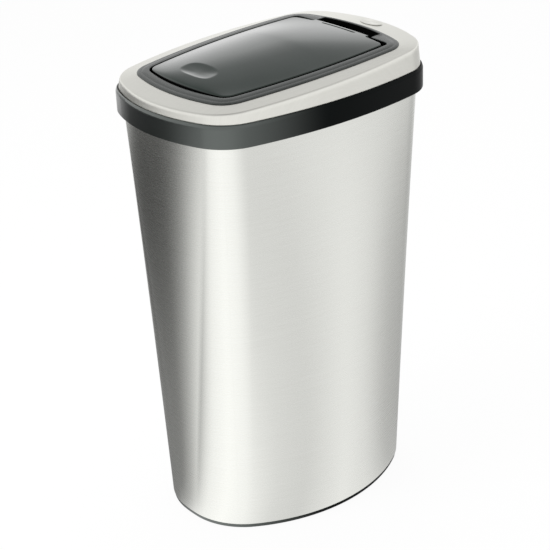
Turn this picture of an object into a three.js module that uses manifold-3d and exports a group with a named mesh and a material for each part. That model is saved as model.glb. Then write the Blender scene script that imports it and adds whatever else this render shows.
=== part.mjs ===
// Press-top waste bin: a tapered steel body with a black collar, and a lift-off head that carries
// a domed lid on a sprung hinge, held shut by a push latch.
// Millimetres, +Z up. The front of the bin looks towards -Y and its long axis runs along Y.
// The origin is on the floor, under the middle of the plan.

import * as THREE from 'three';
import { mergeVertices } from 'three/addons/utils/BufferGeometryUtils.js';
import Module from 'manifold-3d';

const wasm = await Module();
wasm.setup();

// Driving dimensions: stock and fits
const steel = 0.8;
const wall = 2.5;
const seat = 0.3;
const running = 0.1;
const overrun = 5;

// Plan of the collar, and how far the foot and the bezel stand inside it.
// An outline has two end arcs, two side arcs and four corner arcs. Its shares, of its half width,
// say how far an end arc falls away at the full width, how far a side arc falls away at the full
// reach, and how large the corners' radius is.
const reach = 205;
const halfWidth = 146.9;
const taper = { end: 23.7, side: 14.5 };
const brow = { front: 34.2, rear: 43.3, side: 28.5, widest: 26.7 };
const bandShares = { endShare: 0.3268, sideShare: 0.2151, cornerShare: 0.4554 };
const footShares = { endShare: 0.2885, sideShare: 0.5891, cornerShare: 0.7492 };
const bezelShares = { endShare: 0.2027, sideShare: 0.1765, cornerShare: 0.3176 };
const leastCorner = 4;
const counts = { end: 3, corner: 5, side: 3 };

// Heights of the body
const footRise = 6;
const bandTop = 621.5;
const bandHeight = 31.8;
const bandFoot = bandTop - bandHeight;

// Steel sleeve: its inset under the collar's lower edge, the folded hem and the turned-in flange
const sleeve = { inset: 9.2, hem: 8, fold: 2.4, flange: 10, levels: 3 };

// Foot ring and floor pan
const foot = { inset: 1.5, chamfer: 1.5, width: 11.5, spigot: 1.1 };
const pan = { play: 0.6, lip: 11, ribHeight: 5, ribWidth: 2, ribInset: 16, ribsAlong: 3, ribsAcross: 4 };

// Collar
const collar = { skin: 3, edge: 3, chamfer: 1, rim: 5.6, web: 3, webDrop: 6.5, leg: 2.5, legDrop: 4.7 };
const webTop = bandTop - collar.webDrop;
const webFoot = webTop - collar.web;
const sleeveTop = webFoot - seat;

// Head: how far its shoulder stands above the collar at the front and the rear, with a slight arch,
// and how far the bezel stands above the shoulder
const head = { frontRise: 10.9, rearRise: 30.4, arch: 1.35, bezelRise: 5.1 };
const trim = { skirtInset: 7.9, shoulderInset: 6.3, edge: 2.6, dip: 5.5, lap: 5, underBezel: 1.2 };
const shoulderReach = reach - trim.shoulderInset - trim.edge;
const frame = { flangeInset: 9, plugDepth: 15, plugPlay: 0.6, deckDrop: 13, wallInset: 2.3, lip: 4.5 };
const rim = 21.4;
const bezel = { overhang: 0.4, edge: 2, plate: 2.5, slotRim: 8.7, slotPlay: 2.6, skirt: 2.2 };

// Lid: gap to the bezel, dome height, how full the dome's edge is, how far it falls to the rear
const lid = { gap: 3.5, rearRim: 35.2, crown: 16, edgeRise: 0.5, depth: 6, rearFallShare: 0.45, poleShare: 0.075 };
const edgePowerShare = 4.4;
const lidRingShares = [0.3, 0.55, 0.74, 0.87, 0.95, 0.99, 1];
const hollowRingShares = [0.5, 0.8, 0.94, 1];
const tongue = { halfShare: 0.621, beyond: 1.5, length: 14, rise: 4, web: 1 };
const press = { rim: 28.9, halfX: 33, halfY: 18, depth: 6, tiltDegrees: 11, sides: 24 };
const pressShares = [[0.45, 0.95], [0.72, 0.72], [0.88, 0.4], [1, 0]];
const slit = { halfShare: 0.57, rim: 7, width: 1.6, depth: 1.2 };

// Hinge: its axis lies under the tongue, so that the tongue dips into the slot as the lid opens.
// The shares place the pieces along the pin, from the middle of the lid to the tongue's side.
const hinge = { rim: 2, drop: 3.8, pin: 1.75, knuckle: 4.3, ear: 4.2, earSides: 16, middleEar: 4 };
const pinShare = 0.985;
const knuckleShares = [0.62, 0.85];
const earShares = [0.862, 0.95];
const torsion = { fromShare: 0.345, turns: 5, pitch: 2.1, radius: 4, wire: 0.6, leg: 11.5, sides: 5, steps: 8 };
const throatRim = 18;
const linerRim = 17;

// Latch: a housing let into the deck, with a sprung plunger whose jaws take the lid's striker
const latch = { rim: 19.8, halfX: 12, halfY: 8, below: 24, above: 2.4, wall: 2, flangeHalf: 21, flange: 2, play: 0.3 };
const plunger = { depth: 8, drop: 4.8, gapToStriker: 3.4, jaw: 2, jawRise: 6, jawPlay: 0.8 };
const catchSpring = { radius: 3.6, wire: 0.5, turns: 4, sides: 5, steps: 8 };
const striker = { halfX: 3.6, halfY: 2.6, neck: 1.6, foot: 2, footHalf: 9, lip: 1.6 };
const latchPad = { half: 34, front: 17, rear: 13 };

// Small pieces
const screw = { shank: 1.25, head: 3, headRise: 1.8, length: 9, tip: 2, sides: 6, crownShare: 0.7 };
const boss = { radius: 3.4, inset: 11, roof: 2.2 };
const linerBoss = { radius: 3.2, halfShare: 0.557 };
const linerBossShares = [-0.686, 0, 0.617];
const liner = { plate: 2, ribDepth: 2.2, ribInset: 22 };
const bumper = { radius: 4, x: 28, back: 2, play: 3.4 };
const disc = { halfX: 20, halfY: 11, thick: 1.2, sides: 24, placeShare: 0.6 };
const bezelScrewShares = [0.11, 0.4, 0.6, 0.86];

// Colours and finishes
const finishes = {
  brushedSteel: { color: 0xcfccc4, roughness: 0.32, metalness: 1 },
  springSteel: { color: 0xa8a8a6, roughness: 0.3, metalness: 1 },
  blackPlastic: { color: 0x15191a, roughness: 0.45, metalness: 0 },
  greyPlastic: { color: 0x4c524f, roughness: 0.35, metalness: 0 },
  lidPlastic: { color: 0x3a4140, roughness: 0.18, metalness: 0 },
  rubber: { color: 0x202020, roughness: 0.9, metalness: 0 },
};

// Heights on the head. The shoulder rises from front to rear along a shallow arch.
function shoulderZ(y) {
  const mid = (head.frontRise + head.rearRise) / 2;
  const along = y / shoulderReach;
  return bandTop + mid + ((head.rearRise - head.frontRise) / 2) * along + head.arch * (1 - along ** 2);
}

function bezelZ(y) {
  return shoulderZ(y) + head.bezelRise;
}

// Outlines in plan

// The radius of an arc that falls away by the bulge over this run
function arcRadius(run, bulge) {
  return (run ** 2 + bulge ** 2) / (2 * bulge);
}

function plan(front, rear, half, widest, shares) {
  const end = arcRadius(half, shares.endShare * half);
  const side = arcRadius(front + widest, shares.sideShare * half);
  return { front, rear, half, widest, end, side, corner: shares.cornerShare * half };
}

const bandPlan = plan(reach, reach, halfWidth, 0, bandShares);
const footPlan = plan(reach - taper.end, reach - taper.end, halfWidth - taper.side, 0, footShares);
const bezelPlan = plan(reach - brow.front, reach - brow.rear, halfWidth - brow.side, brow.widest, bezelShares);
const lidPlan = {
  front: bezelPlan.front - rim - lid.gap,
  rear: bezelPlan.rear - lid.rearRim,
  half: bezelPlan.half - rim - lid.gap,
  widest: bezelPlan.widest,
  end: bezelPlan.end - rim - lid.gap,
  side: bezelPlan.side - rim - lid.gap,
  corner: bezelPlan.corner - rim - lid.gap,
};

// Places that follow from the outlines
const poleY = -lid.poleShare * lidPlan.front;
const tongueHalf = tongue.halfShare * lidPlan.half;
const tongueRear = lidPlan.rear + tongue.beyond;
const tongueRoot = tongueRear - tongue.length;
const slotHalf = tongueHalf + bezel.slotPlay;
const pressY = press.rim - lidPlan.front;
const slitY = tongueRear - slit.rim;
const hingeY = tongueRear - hinge.rim;
const hingeZ = bezelZ(hingeY) - hinge.drop;
const latchY = latch.rim - lidPlan.front;
const bumperY = latchY - bumper.back;
const deckTop = (y) => bezelZ(y) - frame.deckDrop;
const deckFoot = (y) => deckTop(y) - wall;
const plungerTop = deckTop(latchY) - plunger.drop;
const tongueTop = (y) => bezelZ(y) + tongue.rise;
const tongueFoot = (y) => tongueTop(y) - wall;
const lowest = deckFoot(-bezelPlan.front) - overrun;
const highest = bezelZ(bezelPlan.rear) + lid.crown + overrun;
const highestAt = () => highest;

// One quarter, from the middle of the end (0, -reach) to the widest point (half, 0).
// The corner arc touches the end arc and the side arc from inside.
function quarter(reach, half, end, side, corner) {
  const endCentre = new THREE.Vector2(0, end - reach);
  const sideCentre = new THREE.Vector2(half - side, 0);
  const span = sideCentre.clone().sub(endCentre);
  const gap = span.length();
  const fromEnd = end - corner;
  const fromSide = side - corner;
  const along = (fromEnd ** 2 - fromSide ** 2 + gap ** 2) / (2 * gap);
  const out = Math.sqrt(fromEnd ** 2 - along ** 2);
  const unit = span.divideScalar(gap);
  const foot = endCentre.clone().addScaledVector(unit, along);
  const normal = new THREE.Vector2(-unit.y, unit.x);
  const ways = [out, -out].map((d) => foot.clone().addScaledVector(normal, d));
  const cornerCentre = ways[0].y < ways[1].y ? ways[0] : ways[1];
  const endAngle = cornerCentre.clone().sub(endCentre).angle();
  const sideAngle = cornerCentre.clone().sub(sideCentre).angle();
  const points = [];
  const arc = (centre, radius, from, to, steps) => {
    for (let i = 0; i < steps; i += 1) {
      const angle = from + ((to - from) * i) / steps;
      points.push([centre.x + radius * Math.cos(angle), centre.y + radius * Math.sin(angle)]);
    }
  };
  arc(endCentre, end, (3 * Math.PI) / 2, endAngle, counts.end);
  arc(cornerCentre, corner, endAngle, sideAngle, counts.corner);
  arc(sideCentre, side, sideAngle, 2 * Math.PI, counts.side);
  points.push([half, 0]);
  return points;
}

// The whole outline, anticlockwise from the middle of the front, drawn in by inset
function outline(plan, inset = 0) {
  const { half, end, side } = plan;
  const corner = Math.max(plan.corner - inset, leastCorner);
  const front = quarter(plan.front + plan.widest - inset, half - inset, end - inset, side - inset, corner);
  const rear = quarter(plan.rear - plan.widest - inset, half - inset, end - inset, side - inset, corner);
  const right = [...front, ...rear.slice(0, -1).reverse().map(([x, y]) => [x, -y])];
  const left = right.slice(1, -1).reverse().map(([x, y]) => [-x, y]);
  return [...right, ...left].map(([x, y]) => [x, y + plan.widest]);
}

// A loop in space: an outline with its height given for each point
function loop(plan, inset, height) {
  const heightAt = typeof height === 'function' ? height : () => height;
  return outline(plan, inset).map(([x, y]) => [x, y, heightAt(y)]);
}

// A loop of the tapered body at one height: straight lines join the foot to the collar
function bodyLoop(z, inset) {
  const share = (z - footRise) / (bandFoot - footRise);
  const low = outline(footPlan, inset);
  const high = outline(bandPlan, sleeve.inset + inset);
  return low.map(([x, y], i) => [x + (high[i][0] - x) * share, y + (high[i][1] - y) * share, z]);
}

// Meshes and solids

// Faces out: a closed mesh whose signed volume is negative has its triangles turned
function toGeometry(vertices, triangles) {
  let volume = 0;
  for (const [a, b, c] of triangles) {
    const [p, q, r] = [vertices[a], vertices[b], vertices[c]];
    volume += p[0] * (q[1] * r[2] - q[2] * r[1]);
    volume += p[1] * (q[2] * r[0] - q[0] * r[2]);
    volume += p[2] * (q[0] * r[1] - q[1] * r[0]);
  }
  const faces = volume < 0 ? triangles.map(([a, b, c]) => [a, c, b]) : triangles;
  const geometry = new THREE.BufferGeometry();
  geometry.setAttribute('position', new THREE.Float32BufferAttribute(vertices.flat(), 3));
  geometry.setIndex(faces.flat());
  return geometry;
}

// Two triangles for each step round. A band that falls is split along the other diagonal, so that
// the two sides of a thin twisting wall have their diagonals side by side.
function bandFaces(first, second, count, falls = false) {
  const faces = [];
  for (let i = 0; i < count; i += 1) {
    const next = (i + 1) % count;
    const [a, b, c, d] = [first + i, first + next, second + next, second + i];
    if (falls) faces.push([a, b, d], [b, c, d]);
    else faces.push([a, b, c], [a, c, d]);
  }
  return faces;
}

// A hoop: loops taken in order round a closed section
function hoop(loops) {
  const count = loops[0].length;
  const faces = loops.flatMap((lower, k) => {
    const next = (k + 1) % loops.length;
    return bandFaces(k * count, next * count, count, loops[next][0][2] < lower[0][2]);
  });
  return toGeometry(loops.flat(), faces);
}

// A stack: loops from bottom to top, closed at both ends by a point
function stack(loops, lowPoint, highPoint) {
  const count = loops[0].length;
  const vertices = [...loops.flat(), lowPoint, highPoint];
  const low = vertices.length - 2;
  const high = vertices.length - 1;
  const top = (loops.length - 1) * count;
  const faces = loops.slice(1).flatMap((_, k) => bandFaces(k * count, (k + 1) * count, count));
  for (let i = 0; i < count; i += 1) {
    const next = (i + 1) % count;
    faces.push([low, next, i], [high, top + i, top + next]);
  }
  return toGeometry(vertices, faces);
}

// A slab over an outline whose two faces follow heights along Y
function slab(plan, inset, lowZ, highZ, poleY = 0) {
  const loops = [loop(plan, inset, lowZ), loop(plan, inset, highZ)];
  return stack(loops, [0, poleY, lowZ(poleY)], [0, poleY, highZ(poleY)]);
}

// A block whose top and bottom follow heights along Y
function slopedBlock(fromX, toX, fromY, toY, lowZ, highZ) {
  const corners = [[fromX, fromY], [toX, fromY], [toX, toY], [fromX, toY]];
  const low = corners.map(([x, y]) => [x, y, lowZ(y)]);
  const high = corners.map(([x, y]) => [x, y, highZ(y)]);
  const caps = [[0, 2, 1], [0, 3, 2], [4, 5, 6], [4, 6, 7]];
  return toGeometry([...low, ...high], [...bandFaces(0, 4, 4), ...caps]);
}

function prism(points, fromZ, toZ) {
  const shape = new THREE.Shape(points.map(([x, y]) => new THREE.Vector2(x, y)));
  const geometry = new THREE.ExtrudeGeometry(shape, { depth: toZ - fromZ, bevelEnabled: false });
  return geometry.translate(0, 0, fromZ);
}

function block(fromX, toX, fromY, toY, fromZ, toZ) {
  const geometry = new THREE.BoxGeometry(toX - fromX, toY - fromY, toZ - fromZ);
  return geometry.translate((fromX + toX) / 2, (fromY + toY) / 2, (fromZ + toZ) / 2);
}

function post(radius, x, y, fromZ, toZ, sides = screw.sides) {
  const geometry = new THREE.CylinderGeometry(radius, radius, toZ - fromZ, sides);
  return geometry.rotateX(Math.PI / 2).translate(x, y, (fromZ + toZ) / 2);
}

// A round bar along X on the hinge axis
function hingeBar(radius, fromX, toX) {
  const geometry = new THREE.CylinderGeometry(radius, radius, toX - fromX, hinge.earSides);
  return geometry.rotateZ(Math.PI / 2).translate((fromX + toX) / 2, hingeY, hingeZ);
}

function solid(geometry) {
  const bare = geometry.clone();
  bare.deleteAttribute('normal');
  bare.deleteAttribute('uv');
  const merged = mergeVertices(bare);
  const vertProperties = new Float32Array(merged.attributes.position.array);
  const triVerts = new Uint32Array(merged.index.array);
  return new wasm.Manifold(new wasm.Mesh({ numProp: 3, vertProperties, triVerts }));
}

function join(...geometries) {
  return geometries.map(solid).reduce((sum, next) => sum.add(next));
}

function surface(manifold) {
  const mesh = manifold.getMesh();
  const geometry = new THREE.BufferGeometry();
  const places = [];
  for (let i = 0; i < mesh.vertProperties.length; i += mesh.numProp) {
    places.push(...mesh.vertProperties.slice(i, i + 3));
  }
  geometry.setAttribute('position', new THREE.Float32BufferAttribute(places, 3));
  geometry.setIndex([...mesh.triVerts]);
  return geometry;
}

// A round wire along a list of points, with flat ends
function wireAlong(points, radius, sides) {
  const places = points.map((p) => new THREE.Vector3(...p));
  const vertices = [];
  let across = null;
  places.forEach((place, k) => {
    const before = places[Math.max(k - 1, 0)];
    const after = places[Math.min(k + 1, places.length - 1)];
    const ahead = after.clone().sub(before).normalize();
    const seed = across ?? new THREE.Vector3(ahead.y, ahead.z, ahead.x);
    across = seed.clone().addScaledVector(ahead, -seed.dot(ahead)).normalize();
    const up = ahead.clone().cross(across);
    for (let i = 0; i < sides; i += 1) {
      const angle = (2 * Math.PI * i) / sides;
      const p = place.clone().addScaledVector(across, radius * Math.cos(angle));
      p.addScaledVector(up, radius * Math.sin(angle));
      vertices.push([p.x, p.y, p.z]);
    }
  });
  const faces = [];
  for (let k = 0; k < places.length - 1; k += 1) {
    faces.push(...bandFaces(k * sides, (k + 1) * sides, sides));
  }
  const last = (places.length - 1) * sides;
  for (let i = 1; i < sides - 1; i += 1) {
    faces.push([0, i + 1, i], [last, last + i, last + i + 1]);
  }
  return toGeometry(vertices, faces);
}

// The least gap between two turns of a wound wire, measured between its points and printed
function printLeastGap(name, points, wire, stepsPerTurn) {
  let least = Infinity;
  for (let i = 0; i < points.length; i += 1) {
    for (let k = i + Math.ceil(stepsPerTurn / 2); k < points.length; k += 1) {
      const [p, q] = [points[i], points[k]];
      least = Math.min(least, Math.hypot(p[0] - q[0], p[1] - q[1], p[2] - q[2]) - 2 * wire);
    }
  }
  console.log(`${name}: least gap between turns ${least.toFixed(2)} mm`);
}

// Body of the bin

function bodySleeve() {
  const outer = [];
  const inner = [];
  for (let k = 0; k <= sleeve.levels; k += 1) {
    const share = k / sleeve.levels;
    const innerFoot = footRise + steel;
    outer.push(bodyLoop(footRise + (bandFoot - footRise) * share, 0));
    inner.unshift(bodyLoop(innerFoot + (bandFoot - innerFoot) * share, steel));
  }
  const hemFoot = sleeveTop - sleeve.hem;
  const hem = [[sleeveTop, 0], [sleeveTop, sleeve.fold], [hemFoot, sleeve.fold], [hemFoot, steel]]
    .map(([z, inset]) => bodyLoop(z, inset));
  const flange = [bodyLoop(footRise + steel, sleeve.flange), bodyLoop(footRise, sleeve.flange)];
  return hoop([...outer, ...hem, ...inner, ...flange]);
}

function footRing() {
  const { inset, chamfer, width, spigot } = foot;
  const top = footRise - seat;
  const spigotInset = sleeve.flange + seat;
  const section = [
    [inset + chamfer, 0], [inset, chamfer], [inset, top], [spigotInset, top],
    [spigotInset, top + spigot], [inset + width, top + spigot], [inset + width, 0],
  ];
  return hoop(section.map(([i, z]) => loop(footPlan, i, z)));
}

// The floor pan: a tray with a lip, and a grid of ribs under it inside the foot ring
function floorPan() {
  const low = footRise + steel + seat;
  const inset = steel + pan.play;
  const lipTop = low + wall + pan.lip;
  const outer = stack([bodyLoop(low, inset), bodyLoop(lipTop, inset)], [0, 0, low], [0, 0, lipTop]);
  const floor = low + wall;
  const roof = lipTop + overrun;
  const hollow = stack([bodyLoop(floor, inset + wall), bodyLoop(roof, inset + wall)], [0, 0, floor], [0, 0, roof]);
  const ribRoom = solid(prism(outline(footPlan, pan.ribInset), low - pan.ribHeight, floor));
  const ribs = [];
  for (let k = 0; k < pan.ribsAlong; k += 1) {
    const x = footPlan.half * ((2 * (k + 1)) / (pan.ribsAlong + 1) - 1);
    ribs.push(block(x - pan.ribWidth / 2, x + pan.ribWidth / 2, -footPlan.front, footPlan.rear, 0, floor));
  }
  for (let k = 0; k < pan.ribsAcross; k += 1) {
    const y = footPlan.front * ((2 * (k + 1)) / (pan.ribsAcross + 1) - 1);
    ribs.push(block(-footPlan.half, footPlan.half, y - pan.ribWidth / 2, y + pan.ribWidth / 2, 0, floor));
  }
  return surface(solid(outer).subtract(solid(hollow)).add(join(...ribs).intersect(ribRoom)));
}

// The collar caps the sleeve's edge: outer skin, lower lip, web and inner leg in one section
function collarBand() {
  const legInset = sleeve.inset + sleeve.fold + seat;
  const lipInset = sleeve.inset - seat;
  const { skin, edge, chamfer, rim: rimInset, leg, legDrop } = collar;
  const edgeShares = [[0, 1], [0.29, 0.29], [1, 0]];
  const section = [
    [chamfer, bandFoot], [0, bandFoot + chamfer],
    ...edgeShares.map(([i, z]) => [edge * i, bandTop - edge * z]),
    [rimInset, bandTop], [rimInset, webTop], [legInset + leg, webTop],
    [legInset + leg, bandFoot - legDrop], [legInset, bandFoot - legDrop], [legInset, webFoot],
    [skin, webFoot], [skin, bandFoot + wall], [lipInset, bandFoot + wall], [lipInset, bandFoot],
  ];
  return hoop(section.map(([i, z]) => loop(bandPlan, i, z)));
}

// Head

// The pressed trim: skirt, tight shoulder, sloping top face and a lap under the bezel
function headTrim() {
  const { skirtInset, shoulderInset, edge, dip, lap, underBezel } = trim;
  const edgeShares = [[0, 1], [0.16, 0.46], [0.5, 0.12], [1, -0.06]];
  const skirtFoot = bandTop - dip;
  const outside = [
    loop(bandPlan, skirtInset, skirtFoot),
    ...edgeShares.map(([i, z]) => loop(bandPlan, shoulderInset + edge * i, (y) => shoulderZ(y) - edge * z)),
    loop(bezelPlan, 0, (y) => bezelZ(y) - underBezel),
    loop(bezelPlan, lap, (y) => bezelZ(y) - underBezel),
  ];
  const inside = [
    loop(bezelPlan, lap, (y) => bezelZ(y) - underBezel - steel),
    loop(bezelPlan, 0, (y) => bezelZ(y) - underBezel - steel),
    ...[...edgeShares].reverse().map(([i, z]) => {
      const inward = steel * (1 - i);
      const down = steel * i;
      return loop(bandPlan, shoulderInset + inward + edge * i, (y) => shoulderZ(y) - edge * z - down);
    }),
    loop(bandPlan, skirtInset + steel, skirtFoot),
  ];
  return hoop([...outside, ...inside]);
}

// The opening for the lid and, behind it, the slot that the tongue dips into, grown by extra
function opening(extra, fromZ, toZ) {
  const around = solid(prism(outline(bezelPlan, rim - extra), fromZ, toZ));
  const slotEnd = solid(prism(outline(bezelPlan, bezel.slotRim - extra), fromZ, toZ));
  const half = slotHalf + extra;
  const strip = solid(block(-half, half, 0, bezelPlan.rear, fromZ, toZ));
  return around.add(slotEnd.intersect(strip));
}

function bezelScrewPlaces() {
  const ring = outline(bezelPlan, boss.inset);
  const points = bezelScrewShares.map((share) => Math.round((share * ring.length) / 2));
  const mirrored = points.map((i) => ring.length - i);
  return [...points, ...mirrored].map((i) => ring[i]);
}

// The moulded frame: a plug that drops inside the collar, a wall and top that carry the trim, and
// a deck under the bezel with the throat of the bin cut through it
function headFrame() {
  const { flangeInset, plugDepth, plugPlay, wallInset, lip } = frame;
  const legInset = sleeve.inset + sleeve.fold + seat;
  const plugInset = legInset + collar.leg + plugPlay;
  const flangeFoot = webTop + seat;
  const top = trim.underBezel + steel + seat;
  const shoulder = trim.edge + steel;
  const section = [
    loop(bandPlan, plugInset, webTop - plugDepth),
    loop(bandPlan, plugInset, flangeFoot),
    loop(bandPlan, flangeInset, flangeFoot),
    loop(bandPlan, flangeInset, (y) => shoulderZ(y) - shoulder - seat),
    loop(bandPlan, flangeInset + wall, (y) => shoulderZ(y) - steel - seat),
    loop(bezelPlan, 0, (y) => bezelZ(y) - top),
    loop(bezelPlan, wallInset + wall, (y) => bezelZ(y) - top),
    loop(bezelPlan, wallInset + wall, deckFoot),
    loop(bezelPlan, wallInset, deckFoot),
    loop(bezelPlan, wallInset, (y) => bezelZ(y) - top - wall),
    loop(bezelPlan, 0, (y) => bezelZ(y) - top - wall),
    loop(bandPlan, flangeInset + 2 * wall, (y) => shoulderZ(y) - steel - seat - wall),
    loop(bandPlan, flangeInset + wall, (y) => shoulderZ(y) - steel - seat - 2 * wall),
    loop(bandPlan, flangeInset + wall, flangeFoot + wall),
    loop(bandPlan, plugInset + wall, flangeFoot + wall),
    loop(bandPlan, plugInset + wall, webTop - plugDepth),
  ];
  const deck = solid(slab(bezelPlan, wallInset + wall / 2, deckFoot, deckTop));
  const throatPlan = solid(prism(outline(lidPlan, lip), lowest, highest));
  const half = lidPlan.half;
  const throat = throatPlan.intersect(solid(block(-half, half, -lidPlan.front, tongueRear - throatRim, lowest, highest)));
  const [padFront, padRear] = [latchY - latchPad.front, latchY + latchPad.rear];
  const pad = slopedBlock(-latchPad.half, latchPad.half, padFront, padRear, deckFoot, deckTop);
  let body = solid(hoop(section)).add(deck.subtract(throat)).add(solid(pad));
  const earShape = (from, to) => {
    const legs = block(from, to, hingeY - hinge.ear, hingeY + hinge.ear, deckFoot(hingeY) + wall / 2, hingeZ);
    return join(legs, hingeBar(hinge.ear, from, to));
  };
  const [earFrom, earTo] = earShares.map((share) => share * tongueHalf);
  const ears = [[-earTo, -earFrom], [-hinge.middleEar, hinge.middleEar], [earFrom, earTo]];
  ears.forEach(([from, to]) => { body = body.add(earShape(from, to)); });
  body = body.subtract(solid(hingeBar(hinge.pin + running, -slotHalf, slotHalf)));
  const holeX = latch.halfX + latch.play;
  const holeY = latch.halfY + latch.play;
  const latchHole = block(-holeX, holeX, latchY - holeY, latchY + holeY, lowest, highest);
  body = body.subtract(solid(latchHole));
  const clearance = screw.shank + seat;
  [...bezelScrewPlaces(), ...latchScrewPlaces()].forEach(([x, y]) => {
    body = body.subtract(solid(post(clearance, x, y, lowest, deckTop(y) + seat)));
  });
  return surface(body);
}

// The bezel: a dark ring with a rounded outer edge, filled out behind the lid's rear corners, with
// a skirt round the opening and screw bosses under it
function lidBezel() {
  const { overhang, edge, plate, skirt } = bezel;
  const lapFoot = trim.underBezel - seat;
  const stepInset = trim.lap + seat;
  const edgeShares = [[0, 0.35], [0.3, 0.1], [1, 0]];
  const loops = [
    loop(bezelPlan, stepInset, (y) => bezelZ(y) - plate),
    loop(bezelPlan, stepInset, (y) => bezelZ(y) - lapFoot),
    loop(bezelPlan, overhang, (y) => bezelZ(y) - lapFoot),
    ...edgeShares.map(([i, z]) => loop(bezelPlan, overhang + edge * i, (y) => bezelZ(y) - edge * z)),
  ];
  const under = [0, 0, bezelZ(0) - plate];
  const over = [0, 0, bezelZ(0)];
  const skirtFoot = (y) => deckTop(y) + seat;
  const skirtTop = (y) => bezelZ(y) - plate / 2;
  const room = solid(slab(bezelPlan, stepInset, skirtFoot, skirtTop));
  let posts = opening(skirt, lowest, highest);
  bezelScrewPlaces().forEach(([x, y]) => {
    posts = posts.add(solid(post(boss.radius, x, y, lowest, highest, 2 * screw.sides)));
  });
  let body = solid(stack(loops, under, over)).add(posts.intersect(room)).subtract(opening(0, lowest, highest));
  bezelScrewPlaces().forEach(([x, y]) => {
    body = body.subtract(solid(post(screw.shank + running, x, y, lowest, bezelZ(y) - boss.roof)));
  });
  return surface(body);
}

// A plain oval plate on the trim, behind the bezel
function rearDisc() {
  const browZ = bezelZ(bezelPlan.rear) - trim.underBezel;
  const browLength = shoulderReach - bezelPlan.rear;
  const slope = (shoulderZ(shoulderReach) - browZ) / browLength;
  const tilt = Math.atan(slope);
  const along = browLength * disc.placeShare;
  const geometry = new THREE.CylinderGeometry(1, 1, disc.thick, disc.sides);
  geometry.rotateX(Math.PI / 2).scale(disc.halfX, disc.halfY, 1).rotateX(tilt);
  const rise = disc.thick / 2 + 2 * seat;
  return geometry.translate(0, bezelPlan.rear + along, browZ + slope * along + rise);
}

// Lid

// Height of the lid's top face on the ring at this share of the way from the pole to the edge
function lidTopZ(y, share) {
  const rearward = Math.max(0, (y - poleY) / (lidPlan.rear - poleY));
  const dome = lid.crown * Math.sqrt(1 - share ** edgePowerShare) * (1 - lid.rearFallShare * rearward ** 2);
  return bezelZ(y) + lid.edgeRise + dome;
}

// The domed block of the lid, drawn in and lowered by the wall to make the hollow
function lidBlock(inset, footDrop, shares) {
  const edge = outline(lidPlan, inset);
  const ring = (share) => edge.map(([x, y]) => {
    const ringY = poleY + (y - poleY) * share;
    return [x * share, ringY, lidTopZ(ringY, share) - inset];
  });
  const rings = [...shares].reverse().map(ring);
  const low = edge.map(([x, y]) => [x, y, bezelZ(y) - footDrop]);
  const under = [0, poleY, bezelZ(poleY) - footDrop];
  return solid(stack([low, ...rings], under, [0, poleY, lidTopZ(poleY, 0) - inset]));
}

// The finger press: a bowl turned about Z, stretched to an oval, tilted with the dome.
// Grown by the wall, it is the bowl's outside.
function pressBowl(grow) {
  const over = overrun + grow;
  const rows = pressShares.map(([r, z]) => new THREE.Vector2(r, -z * (press.depth + grow)));
  const bottom = new THREE.Vector2(0, -press.depth - grow);
  const profile = [bottom, ...rows, new THREE.Vector2(1, over), new THREE.Vector2(0, over)];
  const geometry = new THREE.LatheGeometry(profile, press.sides);
  geometry.rotateX(Math.PI / 2).scale(press.halfX + grow, press.halfY + grow, 1);
  geometry.rotateX(THREE.MathUtils.degToRad(press.tiltDegrees));
  const share = (pressY - poleY) / (-lidPlan.front - poleY);
  return solid(geometry.translate(0, pressY, lidTopZ(pressY, share)));
}

function linerBossPlaces() {
  const x = linerBoss.halfShare * lidPlan.half;
  return linerBossShares.flatMap((share) => [[-x, share * lidPlan.front], [x, share * lidPlan.front]]);
}

function lidCover() {
  const whole = lidBlock(0, lid.depth, lidRingShares);
  let body = whole.subtract(lidBlock(wall, lid.depth + overrun, hollowRingShares));
  linerBossPlaces().forEach(([x, y]) => {
    const from = bezelZ(y) - lid.depth + liner.plate + 2 * seat;
    body = body.add(solid(post(linerBoss.radius, x, y, from, highest, 2 * screw.sides)).intersect(whole));
  });
  body = body.add(pressBowl(wall).intersect(whole)).subtract(pressBowl(0));
  const half = tongueHalf;
  const inner = half - tongue.web;
  const room = slopedBlock(-inner, inner, tongueRoot, tongueRear + overrun, () => lowest, tongueFoot);
  const plate = slopedBlock(-half, half, tongueRoot, tongueRear, tongueFoot, tongueTop);
  body = body.subtract(solid(room)).add(solid(plate));
  const [knuckleFrom, knuckleTo] = knuckleShares.map((share) => share * tongueHalf);
  [[-knuckleTo, -knuckleFrom], [knuckleFrom, knuckleTo]].forEach(([from, to]) => {
    const arm = block(from, to, hingeY - hinge.knuckle, tongueRear, hingeZ, tongueFoot(hingeY) + wall / 2);
    body = body.add(join(arm, hingeBar(hinge.knuckle, from, to)));
  });
  body = body.subtract(solid(hingeBar(hinge.pin + running, -half, half)));
  const slitHalf = slit.halfShare * tongueHalf;
  const slitFoot = (y) => tongueTop(y) - slit.depth;
  const groove = slopedBlock(-slitHalf, slitHalf, slitY - slit.width, slitY, slitFoot, highestAt);
  body = body.subtract(solid(groove));
  linerBossPlaces().forEach(([x, y]) => {
    const from = bezelZ(y) - lid.depth;
    body = body.subtract(solid(post(screw.shank + running, x, y, lowest, from + screw.length + seat)));
  });
  return surface(body);
}

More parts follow.
